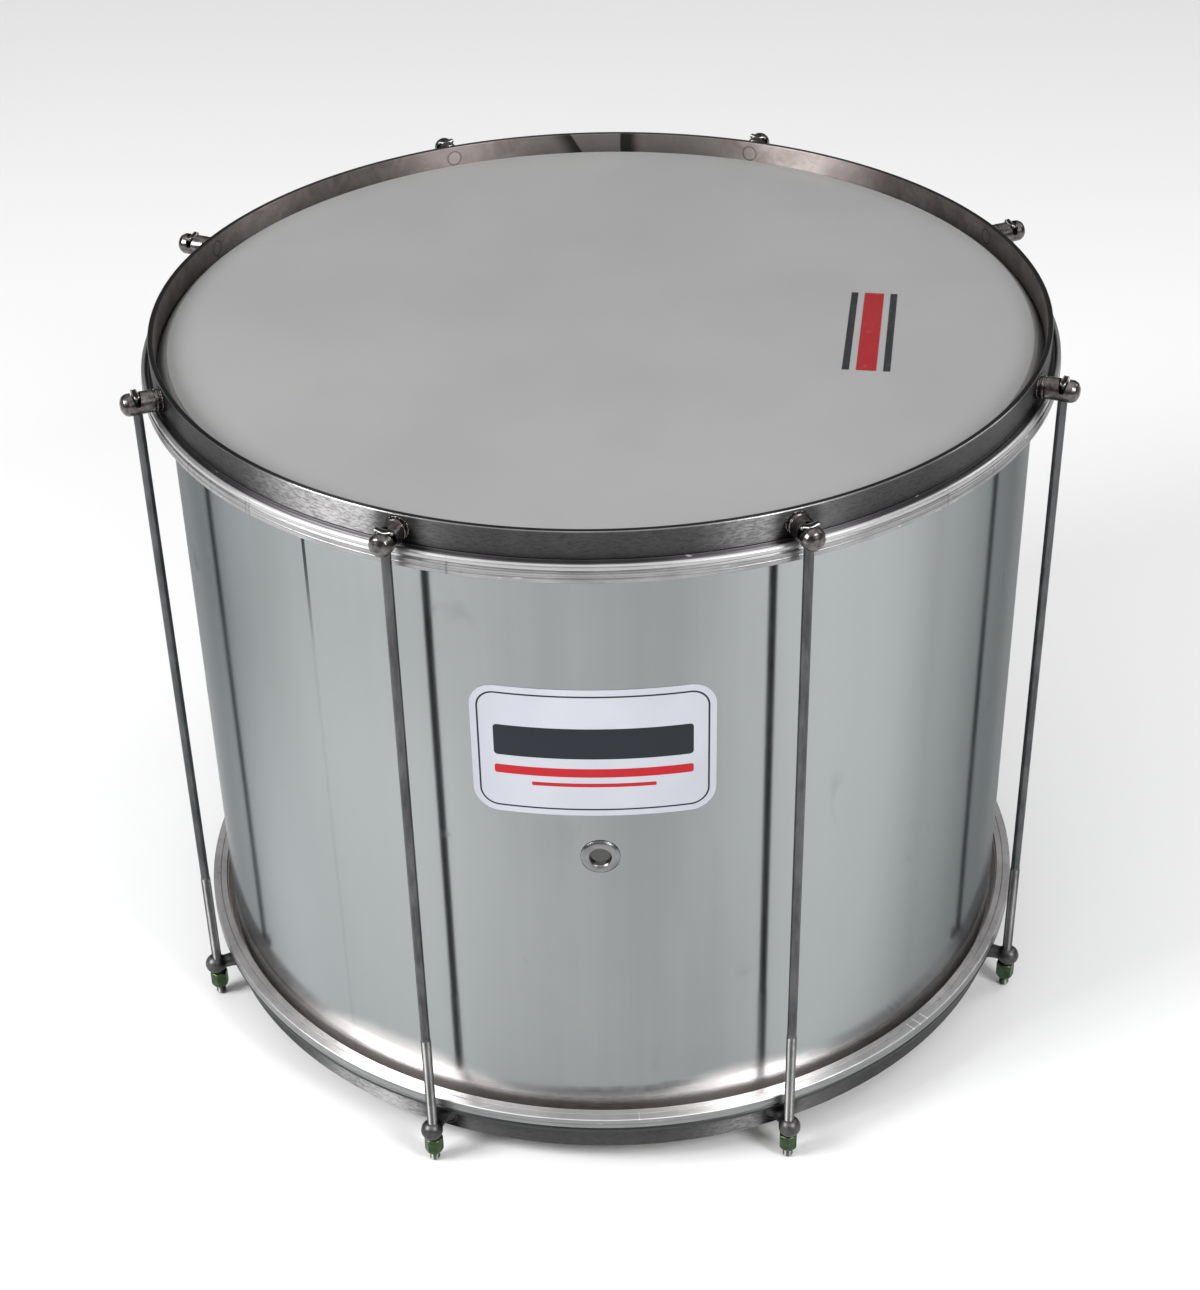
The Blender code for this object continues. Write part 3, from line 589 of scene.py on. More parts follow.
def film_look(name, printed):
    """Milky film: a soft grey, with painted shade where it leaves the shell's edge."""
    k = Look(name, 0.0)
    x, y, z = k.split(k.coords)
    radius = k.math("SQRT", k.math("ADD", k.math("MULTIPLY", x, x), k.math("MULTIPLY", y, y)))
    cloud = k.noise(k.coords, 7.0, 3.0, 0.5)
    fine = k.noise(k.coords, 900.0, 2.0, 0.6)
    base = k.mix(k.band(cloud, 0.30, 0.70), (0.414, 0.415, 0.416), (0.456, 0.456, 0.455))
    base = k.mix(k.math("MULTIPLY", k.band(fine, 0.35, 0.65), 0.18), base, (0.390, 0.390, 0.390))
    # painted shade: the film darkens towards the bearing edge, and outside that edge it hangs over a dark gap
    rim = k.band(radius, 0.2405, 0.2515)
    base = k.mix(k.math("MULTIPLY", rim, 0.14), base, (0.15, 0.152, 0.15))
    over = k.band(radius, 0.2522, 0.2545)
    if not printed:
        base = k.mix(k.band(radius, 0.2440, 0.2400), base, (0.86, 0.86, 0.85))
    if printed:
        # painted shade: the top film is painted near-black where it hangs over the gap
        base = k.mix(k.math("MULTIPLY", over, 0.75), base, (0.075, 0.082, 0.075))
    else:
        # painted light: the lower film is painted light and pinkish where it hangs over the gap
        drawn = k.noise(k.vec(0.0, z, radius), 1500.0, 3.0, 0.6)
        base = k.mix(k.math("MULTIPLY", over, 0.95), base, k.mix(k.band(drawn, 0.40, 0.60), (0.80, 0.735, 0.710), (0.99, 0.93, 0.90)))
    worn = k.noise(k.vec(k.math("MULTIPLY", x, 1.0), k.math("MULTIPLY", y, 1.0)), 3.2, 2.0, 0.5)
    rough = k.math("ADD", 0.12, k.math("MULTIPLY", worn, 0.14))
    if printed:
        # a plain striped badge in the place of a print
        cx, cy, tilt = 0.1560, -0.0245, math.radians(82.0)
        dx, dy = k.math("SUBTRACT", x, cx), k.math("SUBTRACT", y, cy)
        c, s = math.cos(tilt), math.sin(tilt)
        u = k.math("ADD", k.math("MULTIPLY", dx, c), k.math("MULTIPLY", dy, s))
        v = k.math("SUBTRACT", k.math("MULTIPLY", dy, c), k.math("MULTIPLY", dx, s))

        def bar(v0, half_v, half_u):
            across = k.band(k.math("ABSOLUTE", k.math("SUBTRACT", v, v0)), half_v + 0.0004, half_v - 0.0001)
            along = k.band(k.math("ABSOLUTE", u), half_u + 0.0004, half_u - 0.0001)
            return k.math("MULTIPLY", across, along)

        ink = k.noise(k.coords, 260.0, 3.0, 0.7)
        wear = k.band(ink, 0.30, 0.42, 0.78, 1.0)
        for v0, half_v, half_u, tint in (
            (0.0115, 0.0019, 0.050, (0.018, 0.020, 0.024)),
            (-0.0115, 0.0019, 0.050, (0.018, 0.020, 0.024)),
            (0.0, 0.0056, 0.050, (0.40, 0.009, 0.016)),
        ):
            shape = k.math("MULTIPLY", bar(v0, half_v, half_u), wear)
            base = k.mix(shape, base, tint)
    k.set(Base_Color=base, Roughness=rough)
    k.bsdf.inputs["Specular IOR Level"].default_value = 0.5
    through = k.tree.nodes.new("ShaderNodeBsdfTranslucent")
    k.put(through.inputs["Color"], k.mix(0.75, base, (0.86, 0.86, 0.85)))
    both = k.tree.nodes.new("ShaderNodeMixShader")
    if printed:
        # the inner face only hands the light on into the drum
        inner = k.math("MULTIPLY", k.band(z, (FILM_TOP - 0.09) * MM, (FILM_TOP - 0.21) * MM), k.band(radius, 0.2525, 0.2515))
        k.put(both.inputs[0], k.math("ADD", 0.42, k.math("MULTIPLY", inner, 0.54)))
    else:
        both.inputs[0].default_value = 0.42
    k.tree.links.new(k.bsdf.outputs[0], both.inputs[1])
    k.tree.links.new(through.outputs[0], both.inputs[2])
    k.tree.links.new(both.outputs[0], k.tree.nodes["Material Output"].inputs[0])
    sag = k.noise(k.coords, 2.2, 1.0, 0.4)
    normal = k.bump(sag, 0.004, 0.10)
    normal = k.bump(fine, 0.00002, 0.20, normal)
    k.set(Normal=normal)
    return k.mat


def post_look():
    k = Look("post_steel_finish", 1.0)
    patch = k.noise(k.coords, 240.0, 3.0, 0.6)
    fine = k.noise(k.coords, 2600.0, 2.0, 0.6)
    colour = k.mix(k.band(patch, 0.34, 0.68), (0.070, 0.065, 0.063), (0.170, 0.157, 0.152))
    colour = k.mix(k.math("MULTIPLY", k.band(fine, 0.55, 0.75), 0.4), colour, (0.040, 0.036, 0.035))
    # the end that is welded to the hoop is tinted by heat
    x, y, _ = k.split(k.coords)
    radius = k.math("SQRT", k.math("ADD", k.math("MULTIPLY", x, x), k.math("MULTIPLY", y, y)))
    heat = k.band(radius, 0.2640, 0.2612)
    colour = k.mix(k.math("MULTIPLY", heat, 0.8), colour, (0.050, 0.040, 0.040))
    edge = k.tree.nodes.new("ShaderNodeNewGeometry").outputs["Pointiness"]
    colour = k.mix(k.band(edge, 0.56, 0.66, 0.0, 0.5), colour, (0.46, 0.445, 0.43))
    k.set(Base_Color=colour, Roughness=k.math("ADD", 0.17, k.math("MULTIPLY", patch, 0.15)))
    normal = k.bump(patch, 0.0002, 0.20)
    normal = k.bump(fine, 0.00003, 0.3, normal)
    k.set(Normal=normal)
    return k.mat


def bar_look():
    k = Look("rod_bar_finish", 1.0)
    rim = k.tree.nodes.new("ShaderNodeAttribute")
    rim.attribute_name = "rim"
    patch = k.noise(k.coords, 420.0, 3.0, 0.6)
    fine = k.noise(k.coords, 2600.0, 2.0, 0.6)
    edge = k.mix(k.band(patch, 0.34, 0.68), (0.30, 0.295, 0.29), (0.56, 0.55, 0.54))
    # painted highlight on the bar's edges and painted shade in its dish, following the rim tone
    colour = k.mix(rim.outputs["Fac"], (0.022, 0.021, 0.021), edge)
    colour = k.mix(k.math("MULTIPLY", k.band(fine, 0.55, 0.75), 0.35), colour, (0.05, 0.046, 0.044))
    k.set(Base_Color=colour, Roughness=k.math("ADD", 0.24, k.math("MULTIPLY", patch, 0.16)))
    k.set(Normal=k.bump(fine, 0.00003, 0.3))
    return k.mat


def lug_look():
    k = Look("lug_steel_finish", 1.0)
    patch = k.noise(k.coords, 160.0, 3.0, 0.6)
    fine = k.noise(k.coords, 1700.0, 3.0, 0.65)
    colour = k.mix(k.band(patch, 0.34, 0.68), (0.068, 0.066, 0.067), (0.120, 0.116, 0.116))
    colour = k.mix(k.math("MULTIPLY", k.band(fine, 0.5, 0.75), 0.35), colour, (0.032, 0.030, 0.030))
    x, y, _ = k.split(k.coords)
    radius = k.math("SQRT", k.math("ADD", k.math("MULTIPLY", x, x), k.math("MULTIPLY", y, y)))
    heat = k.band(radius, 0.2655, 0.2618)
    colour = k.mix(k.math("MULTIPLY", heat, 0.7), colour, (0.036, 0.033, 0.033))
    k.set(Base_Color=colour, Roughness=k.math("ADD", 0.36, k.math("MULTIPLY", patch, 0.14)))
    normal = k.bump(patch, 0.00035, 0.22)
    normal = k.bump(fine, 0.00006, 0.35, normal)
    k.set(Normal=normal)
    return k.mat


def rod_look():
    k = Look("rod_steel_finish", 1.0)
    x, y, z = k.split(k.coords)
    drawn = k.noise(k.vec(x, y, k.math("MULTIPLY", z, 0.03)), 2600.0, 2.0, 0.6)
    patch = k.noise(k.vec(x, y, k.math("MULTIPLY", z, 0.35)), 120.0, 3.0, 0.6)
    shank = k.mix(k.band(patch, 0.32, 0.70), (0.055, 0.058, 0.061), (0.100, 0.104, 0.108))
    shank = k.mix(k.math("MULTIPLY", k.band(drawn, 0.50, 0.72), 0.35), shank, (0.17, 0.17, 0.17))
    thread = k.mix(k.band(patch, 0.32, 0.70), (0.110, 0.110, 0.109), (0.180, 0.179, 0.177))
    colour = k.mix(k.band(z, 0.0975, 0.0955), shank, thread)
    rough = k.math("ADD", k.band(z, 0.0975, 0.0955, 0.24, 0.34), k.math("MULTIPLY", patch, 0.16))
    k.set(Base_Color=colour, Roughness=rough)
    k.set(Normal=k.bump(drawn, 0.00002, 0.35))
    return k.mat


def nut_look():
    k = Look("nut_green_finish", 0.85)
    patch = k.noise(k.coords, 260.0, 3.0, 0.6)
    fine = k.noise(k.coords, 1900.0, 2.0, 0.6)
    colour = k.mix(k.band(patch, 0.32, 0.68), (0.020, 0.046, 0.020), (0.044, 0.085, 0.034))
    colour = k.mix(k.math("MULTIPLY", k.band(fine, 0.52, 0.74), 0.5), colour, (0.085, 0.115, 0.040))
    edge = k.tree.nodes.new("ShaderNodeNewGeometry").outputs["Pointiness"]
    colour = k.mix(k.band(edge, 0.53, 0.60, 0.0, 0.7), colour, (0.50, 0.48, 0.17))
    k.set(Base_Color=colour, Roughness=k.math("ADD", 0.24, k.math("MULTIPLY", patch, 0.18)))
    normal = k.bump(patch, 0.0002, 0.2)
    normal = k.bump(fine, 0.00003, 0.3, normal)
    k.set(Normal=normal)
    return k.mat


def nickel_look():
    k = Look("eyelet_nickel_finish", 1.0)
    patch = k.noise(k.coords, 130.0, 3.0, 0.6)
    fine = k.noise(k.coords, 1500.0, 2.0, 0.6)
    colour = k.mix(k.band(patch, 0.34, 0.68), (0.165, 0.167, 0.170), (0.245, 0.248, 0.251))
    colour = k.mix(k.math("MULTIPLY", k.band(fine, 0.58, 0.76), 0.4), colour, (0.16, 0.15, 0.14))
    k.set(Base_Color=colour, Roughness=k.math("ADD", 0.20, k.math("MULTIPLY", patch, 0.12)))
    k.set(Normal=k.bump(fine, 0.00002, 0.25))
    return k.mat


def label_look():
    """White vinyl with a plain printed border and two bands, no lettering."""
    k = Look("label_vinyl", 0.0)
    x, y, z = k.split(k.coords)
    w = math.radians(LABEL_DEG)
    c, s = math.cos(w), math.sin(w)
    u = k.math("ADD", k.math("MULTIPLY", x, c), k.math("MULTIPLY", y, s))
    v = k.math("SUBTRACT", k.math("MULTIPLY", y, c), k.math("MULTIPLY", x, s))
    across = k.math("MULTIPLY", k.math("ARCTAN2", v, u), SHELL_R * MM)
    up = k.math("SUBTRACT", z, LABEL_Z * MM)
    fibre = k.noise(k.coords, 1200.0, 3.0, 0.6)
    cloud = k.noise(k.coords, 22.0, 2.0, 0.5)
    base = k.mix(k.band(cloud, 0.3, 0.7), (0.446, 0.460, 0.510), (0.480, 0.494, 0.543))
    base = k.mix(k.math("MULTIPLY", k.band(fibre, 0.4, 0.7), 0.10), base, (0.41, 0.42, 0.465))

    def box(half_w, half_h, corner, u0=0.0, v0=0.0):
        """Signed distance to a rounded rectangle, negative inside."""
        du = k.math("SUBTRACT", k.math("ABSOLUTE", k.math("SUBTRACT", across, u0)), half_w - corner)
        dv = k.math("SUBTRACT", k.math("ABSOLUTE", k.math("SUBTRACT", up, v0)), half_h - corner)
        pu, pv = k.math("MAXIMUM", du, 0.0), k.math("MAXIMUM", dv, 0.0)
        out = k.math("SQRT", k.math("ADD", k.math("MULTIPLY", pu, pu), k.math("MULTIPLY", pv, pv)))
        inner = k.math("MINIMUM", k.math("MAXIMUM", du, dv), 0.0)
        return k.math("SUBTRACT", k.math("ADD", out, inner), corner)

    def solid(distance):
        return k.band(distance, 0.00012, -0.00012)

    slate, red = (0.010, 0.014, 0.020), (0.40, 0.008, 0.014)
    hw, hh = LABEL_W / 2 * MM, LABEL_H / 2 * MM
    outer = box(hw - 0.0042, hh - 0.0042, 0.0100)
    line = k.band(k.math("ABSOLUTE", outer), 0.00062, 0.00042)
    base = k.mix(line, base, slate)
    base = k.mix(solid(box(hw - 0.0125, 0.0098, 0.0022, 0.0, 0.0065)), base, slate)
    base = k.mix(solid(box(hw - 0.0125, 0.0028, 0.0014, 0.0, -0.0125)), base, red)
    base = k.mix(solid(box(hw - 0.0325, 0.0012, 0.0006, 0.0, -0.0205)), base, red)
    k.set(Base_Color=base, Roughness=k.math("ADD", 0.30, k.math("MULTIPLY", cloud, 0.12)))
    k.bsdf.inputs["Specular IOR Level"].default_value = 0.22
    k.set(Normal=k.bump(fibre, 0.00001, 0.25))
    return k.mat


SHELL_MAT = shell_look()
TOP_HOOP_MAT = hoop_look("counterhoop_steel_finish", POST_Z * MM, (TOP_Z - HOOP_H / 2) * MM, (0.018, 0.019, 0.022))
LOW_HOOP_MAT = hoop_look("lower_counterhoop_steel_finish", LUG_Z * MM, (2 * MID_Z - TOP_Z + HOOP_H / 2) * MM, (0.165, 0.178, 0.174))
FLESH_MAT = flesh_look()
TOP_FILM_MAT = film_look("head_film_finish", True)
LOW_FILM_MAT = film_look("lower_head_film_finish", False)
POST_MAT = post_look()
BAR_MAT = bar_look()
LUG_MAT = lug_look()
ROD_MAT = rod_look()
NUT_MAT = nut_look()
NICKEL_MAT = nickel_look()
LABEL_MAT = label_look()


def keep(obj, body, node):
    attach(obj, body)
    if node is not None:
        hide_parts(node)
    return obj


# ------------------------------------------------------------------ shell
def build_shell():
    """A rolled cylinder with turned-in edges and a vent hole cut through its wall."""
    vent = math.radians(VENT_DEG)
    columns = 480
    step = TAU / columns
    half_cols, half_rows, row_step = 8, 8, 3.25
    rows = [SHELL_TOP - 2.7 - (SHELL_TOP - 2.7 - (VENT_Z + half_rows * row_step)) * i / 10 for i in range(10)]
    rows += [VENT_Z + half_rows * row_step - row_step * i for i in range(2 * half_rows + 1)]
    low = 2 * MID_Z - (SHELL_TOP - 2.7)
    rows += [VENT_Z - half_rows * row_step - (VENT_Z - half_rows * row_step - low) * i / 10 for i in range(1, 11)]
    first = 10                                     # index of the window's top row

    def edge_arc(radius, centre_r, sign, count=7):
        """The edge turned in through a quarter turn, ending in a short inward lip."""
        pts = []
        for i in range(1, count):
            w = math.radians(90.0 * i / (count - 1))
            pts.append((centre_r + radius * math.cos(w), sign * radius * math.sin(w)))
        return pts

    def wobble(a, z):
        """The rolled sheet isn't perfectly round: a few hundredths of a millimetre."""
        inner = 1.0 - ease((abs(z - MID_Z) - 150.0) / 45.0)
        return 0.05 * inner * ripple(a, (9, 0.5, 0.4), (14, 0.35, 2.1), (23, 0.22, 1.2), (37, 0.10, 5.0))

    out_r, in_r = SHELL_R, SHELL_R - SHELL_WALL
    bend = 2.7
    outer = [(out_r, z) for z in rows]
    top_z, low_z = rows[0], rows[-1]
    top_out = [(r, top_z + dz) for r, dz in edge_arc(bend, out_r - bend, 1)]
    top_in = [(r, top_z + dz) for r, dz in edge_arc(bend - SHELL_WALL, out_r - bend, 1)]
    lip = out_r - bend - 3.0
    loop = []
    loop += [("o", i) for i in range(len(rows))]
    verts, index = [], {}

    def vertex(key, r, a, z):
        if key not in index:
            index[key] = len(verts)
            verts.append((r * math.cos(a), r * math.sin(a), z))
        return index[key]

    # the loop goes down the outside, in and up the inside, and over the top edge
    points = [(r, z, "o") for r, z in outer]
    points += [(r, 2 * MID_Z - z, "e") for r, z in top_out]
    points += [(lip, 2 * MID_Z - (top_z + bend - 1.1 * 0.6), "e"), (lip, 2 * MID_Z - (top_z + bend - 1.1 * 0.6 - SHELL_WALL), "e")]
    points += [(r, 2 * MID_Z - z, "e") for r, z in reversed(top_in)]
    points += [(in_r, z, "i") for z in reversed(rows)]
    points += [(r, z, "e") for r, z in top_in]
    points += [(lip, top_z + bend - 1.1 * 0.6 - SHELL_WALL, "e"), (lip, top_z + bend - 1.1 * 0.6, "e")]
    points += [(r, z, "e") for r, z in reversed(top_out)]
    n = len(points)
    count_rows = len(rows)
    inner_start = count_rows + len(top_out) + 2 + len(top_in)
    for c in range(columns):
        a = vent + c * step
        for p, (r, z, kind) in enumerate(points):
            vertex((c, p), r + wobble(a, z), a, z)
    faces = []

    def in_window(c, p):
        cc = c if c < columns / 2 else c - columns
        if not -half_cols <= cc < half_cols:
            return False
        if first <= p < first + 2 * half_rows:
            return True
        q = inner_start + count_rows - 1 - (p + 1)
        if inner_start <= p < inner_start + count_rows - 1:
            row = count_rows - 1 - (p - inner_start) - 1
            return first <= row < first + 2 * half_rows
        return False

    for c in range(columns):
        d = (c + 1) % columns
        for p in range(n):
            if in_window(c, p):
                continue
            q = (p + 1) % n
            faces.append((index[(c, p)], index[(c, q)], index[(d, q)], index[(d, p)]))
    # round patch in each window, then the hole's wall
    border = []
    for i in range(-half_cols, half_cols):
        border.append((i, first))
    for j in range(2 * half_rows):
        border.append((half_cols, first + j))
    for i in range(half_cols, -half_cols, -1):
        border.append((i, first + 2 * half_rows))
    for j in range(2 * half_rows, 0, -1):
        border.append((-half_cols, first + j))
    rings = (0.0, 0.25, 0.45, 0.62, 0.76, 0.87, 0.95, 1.0)

    def patch(side):
        base_r = out_r if side == "o" else in_r
        loops = []
        for t_i, t in enumerate(rings):
            line = []
            for b, (i, j) in enumerate(border):
                s0, z0 = i * step * SHELL_R, rows[j] - VENT_Z
                w = math.atan2(z0, s0)
                s1, z1 = VENT_R * math.cos(w), VENT_R * math.sin(w)
                if t_i == 0:
                    p = j if side == "o" else inner_start + count_rows - 1 - j
                    line.append(index[(i % columns, p)])
                    continue
                s, z = s0 + (s1 - s0) * t, z0 + (z1 - z0) * t
                a = vent + s / SHELL_R
                line.append(vertex((side, t_i, b), base_r + wobble(a, z + VENT_Z), a, z + VENT_Z))
            loops.append(line)
        for k in range(len(loops) - 1):
            for b in range(len(border)):
                e = (b + 1) % len(border)
                faces.append((loops[k][b], loops[k][e], loops[k + 1][e], loops[k + 1][b]))
        return loops[-1]

    hole_out, hole_in = patch("o"), patch("i")
    for b in range(len(border)):
        e = (b + 1) % len(border)
        faces.append((hole_out[b], hole_out[e], hole_in[e], hole_in[b]))
    obj = new_object("shell_sheet", verts, faces, SHELL_MAT, 35.0)
    outward(obj.data)
    return keep(obj, "drum", "shell")


build_shell()


# ------------------------------------------------------------------ heads
def head_loop(top):
    """The film as a closed profile: flat, over the bearing edge, out to the hoop and down inside it."""
    mid = FILM_TOP - FILM_T / 2
    collar = FLESH_IN - 0.35 - FILM_T / 2
    line = rounded([
        (0.6, mid, 0), (SHELL_R - 2.6, mid, 2.4), (SHELL_R + 0.75, mid - 2.6, 2.0),
        (collar, mid - 7.2, 1.2), (collar, FLESH_LOW + 1.6, 0),
    ], closed=False, arc=6)
    flat = [0.6, 8, 25, 50, 80, 110, 140, 170, 195, 215, 230, 240, 246]
    line = [(r, mid) for r in flat] + line[1:]
    out, inn = [], []
    for i, (r, z) in enumerate(line):
        a = np.array(line[max(i - 1, 0)])
        b = np.array(line[min(i + 1, len(line) - 1)])
        t = (b - a) / np.linalg.norm(b - a)
        normal = np.array((-t[1], t[0]))
        p = np.array((r, z))
        out.append(tuple(p + normal * FILM_T / 2))
        inn.append(tuple(p - normal * FILM_T / 2))
    loop = out + list(reversed(inn))
    return loop if top else [(r, 2 * MID_Z - z) for r, z in loop]


def build_head(name, top, mat, body_node):
    loop = head_loop(top)
    n = len(loop)
    half = n // 2

    def tension(a, r, z):
        """A few hundredths of a millimetre of pucker where the film turns over the edge."""
        w = ease((r - 238.0) / 12.0) * (1.0 - ease((r - 252.0) / 2.0))
        return 0.0, (0.02 if top else -0.02) * w * ripple(a, (40, 0.6, 0.3), (64, 0.4, 1.9))

    obj = ring(name, loop, mat, columns=320, wobble=tension, sharp=50.0)
    bm = bmesh.new()
    bm.from_mesh(obj.data)
    bm.verts.ensure_lookup_table()
    # close the small round opening left at the middle, on both faces
    for offset in (0, n - 1):
        bm.faces.new([bm.verts[i * n + offset] for i in range(320)])
    bmesh.ops.delete(bm, geom=[f for f in bm.faces if len(f.verts) == 4
                               and all(v.co.xy.length < 0.0008 for v in f.verts)], context="FACES_ONLY")
    bmesh.ops.recalc_face_normals(bm, faces=bm.faces)
    bm.to_mesh(obj.data)
    bm.free()
    shade(obj.data, 50.0)
    return keep(obj, "drum", body_node)


build_head("top_film", True, TOP_FILM_MAT, "top_head")
build_head("bottom_film", False, LOW_FILM_MAT, "bottom_head")

# ------------------------------------------------------------------ flesh hoops
flesh_corners = [
    (FLESH_IN, FLESH_HIGH, 0.25),
    (261.2, FLESH_HIGH, 0.35),
    (261.8, FLESH_HIGH - 1.5, 0.3),
    (262.3, FLESH_HIGH - 2.2, 0.3),
    (263.6, FLESH_HIGH - 2.2, 0.3),
    (264.1, FLESH_HIGH - 0.5, 0.6),
    (265.2, FLESH_HIGH + 0.0, 1.0),
    (266.7, FLESH_HIGH - 0.9, 1.2),
    (266.9, FLESH_HIGH - 3.0, 0.7),
    (266.2, FLESH_HIGH - 3.5, 0.25),
    (266.5, FLESH_HIGH - 4.1, 0.25),
    (FLESH_OUT, FLESH_HIGH - 4.5, 0.3),
    (FLESH_OUT, FLESH_LOW + 3.6, 0.3),
    (266.9, FLESH_LOW + 3.3, 0.15),
    (FLESH_OUT, FLESH_LOW + 3.0, 0.3),
    (FLESH_OUT, FLESH_LOW, 0.8),
    (262.35, FLESH_LOW, 0.12),
    (262.2, FLESH_LOW + 0.45, 0.1),
    (261.95, FLESH_LOW + 0.45, 0.1),
    (261.8, FLESH_LOW, 0.12),
    (FLESH_IN, FLESH_LOW, 0.45),
]


def flesh_wobble(a, r, z):
    return 0.0, 0.0


keep(ring("top_flesh_ring", rounded(flesh_corners, arc=4), FLESH_MAT, sharp=45.0), "drum", "top_flesh_hoop")
keep(ring("bottom_flesh_ring", rounded(mirror(flesh_corners), arc=4), FLESH_MAT, sharp=45.0), "drum", "bottom_flesh_hoop")

# ------------------------------------------------------------------ counterhoops
def hoop_loop(high):
    low = high - HOOP_H
    corners = [
        (HOOP_IN, high, 0.75), (HOOP_OUT, high, 0.75),
        (HOOP_OUT, low, 0.65), (HOOP_IN, low, 0.65),
    ]
    pts = rounded(corners, arc=6)
    out = []
    for i, p in enumerate(pts):
        q = pts[(i + 1) % len(pts)]
        out.append(p)
        if abs(q[1] - p[1]) > 5.0:               # rows on the two walls, for the weld and its dents
            for t in (0.12, 0.25, 0.4, 0.55, 0.7, 0.85):
                out.append((p[0] + (q[0] - p[0]) * t, p[1] + (q[1] - p[1]) * t))
    return out


def hoop_wobble(high):
    seam = math.radians(HOOP_SEAM)

    def move(a, r, z):
        d = (a - seam + math.pi) % TAU - math.pi
        arc = d * 259.5
        mid = 1.0 - abs((z - (high - HOOP_H / 2)) / (HOOP_H / 2)) ** 8
        lump = 0.16 * math.exp(-(arc / 2.4) ** 2) * (1.0 + 0.5 * math.sin(z * 3.1 + 1.0)) * mid
        dip = -0.10 * math.exp(-(arc / 9.0) ** 2) * mid
        side = -1.0 if r < 259.0 else 0.35
        return side * (lump + dip) + 0.04 * ripple(a, (7, 0.5, 0.2), (17, 0.5, 1.0)) * 0.5, 0.0

    return move


for name, node, body, high, mat in (
    ("top_counterhoop_bar", "top_counterhoop", "upper_hoop", TOP_Z, TOP_HOOP_MAT),
    ("bottom_counterhoop_bar", "bottom_counterhoop", "drum", 2 * MID_Z - TOP_Z + HOOP_H, LOW_HOOP_MAT),
):
    keep(ring(name, hoop_loop(high), mat, columns=512, wobble=hoop_wobble(high), sharp=45.0), body, node)


# ------------------------------------------------------------------ vent eyelet
def build_eyelet():
    profile = rounded([
        (5.7, 0.55, 0.5), (6.3, 1.45, 0.8), (7.8, 1.85, 1.6), (9.9, 1.35, 1.6), (11.0, 0.45, 0.4),
        (11.0, 0.06, 0.05), (6.35, 0.06, 0.05), (6.35, -2.15, 0.2), (8.5, -2.2, 0.2), (8.3, -2.9, 0.3), (5.7, -2.9, 0.5),
    ], arc=5)
    steps = 72
    verts = []
    vent = math.radians(VENT_DEG)
    for i in range(steps):
        w = TAU * i / steps
        for r, d in profile:
            s, z = r * math.cos(w), r * math.sin(w)
            # the flange is pressed to the shell's curve
            fit = (SHELL_R - math.sqrt(SHELL_R ** 2 - s ** 2)) if d < 0.5 and r > 7.0 else 0.0
            x = SHELL_R + d - fit
            verts.append((x * math.cos(vent) - s * math.sin(vent), x * math.sin(vent) + s * math.cos(vent), VENT_Z + z))
    n = len(profile)
    faces = [(i * n + k, ((i + 1) % steps) * n + k, ((i + 1) % steps) * n + (k + 1) % n, i * n + (k + 1) % n)
             for i in range(steps) for k in range(n)]
    obj = new_object("vent_eyelet_pressed", verts, faces, NICKEL_MAT, 45.0)
    outward(obj.data)
    return keep(obj, "drum", "vent_eyelet")


build_eyelet()


# ------------------------------------------------------------------ label
def build_label():
    """A thin vinyl plate bent round the shell, with rounded corners and a soft cut edge."""
    hw, hh, c = LABEL_W / 2, LABEL_H / 2, LABEL_CORNER
    ups = sorted({round(v, 4) for v in
                  [hh - c + c * math.sin(math.radians(90 * i / 14)) for i in range(15)]
                  + [-(hh - c + c * math.sin(math.radians(90 * i / 14))) for i in range(15)]
                  + [(hh - c) * (2 * i / 16 - 1) for i in range(17)]}, reverse=True)
    across = [2 * i / 72 - 1 for i in range(73)]

    def half_width(z):
        over = abs(z) - (hh - c)
        return hw if over <= 0 else hw - c + math.sqrt(max(c * c - over * over, 0.0))

    mid = math.radians(LABEL_DEG)
    verts, index = [], {}

    def put(key, s, z, r):
        a = mid + s / SHELL_R
        index[key] = len(verts)
        verts.append((r * math.cos(a), r * math.sin(a), LABEL_Z + z))

    top_r, low_r = SHELL_R + 0.42, SHELL_R + 0.06
    for side, r in (("t", top_r), ("b", low_r)):
        for j, z in enumerate(ups):
            w = half_width(z)
            for i, u in enumerate(across):
                shrink = 1.0 if side == "b" else 1.0 - 0.10 / hw
                put((side, i, j), u * w * shrink, z * (1.0 if side == "b" else 1.0 - 0.10 / hh), r)
    faces = []
    m, n = len(across), len(ups)
    for j in range(n - 1):
        for i in range(m - 1):
            faces.append(tuple(index[("t", a, b)] for a, b in ((i, j), (i + 1, j), (i + 1, j + 1), (i, j + 1))))
            faces.append(tuple(index[("b", a, b)] for a, b in ((i, j), (i, j + 1), (i + 1, j + 1), (i + 1, j))))
    rim = [(i, 0) for i in range(m)] + [(m - 1, j) for j in range(1, n)] + [(i, n - 1) for i in range(m - 2, -1, -1)] + [(0, j) for j in range(n - 2, 0, -1)]
    for k in range(len(rim)):
        a, b = rim[k], rim[(k + 1) % len(rim)]
        faces.append((index[("t", *b)], index[("t", *a)], index[("b", *a)], index[("b", *b)]))
    obj = new_object("label_plate", verts, faces, LABEL_MAT, 30.0)
    outward(obj.data)
    return keep(obj, "drum", "shell_label")


build_label()


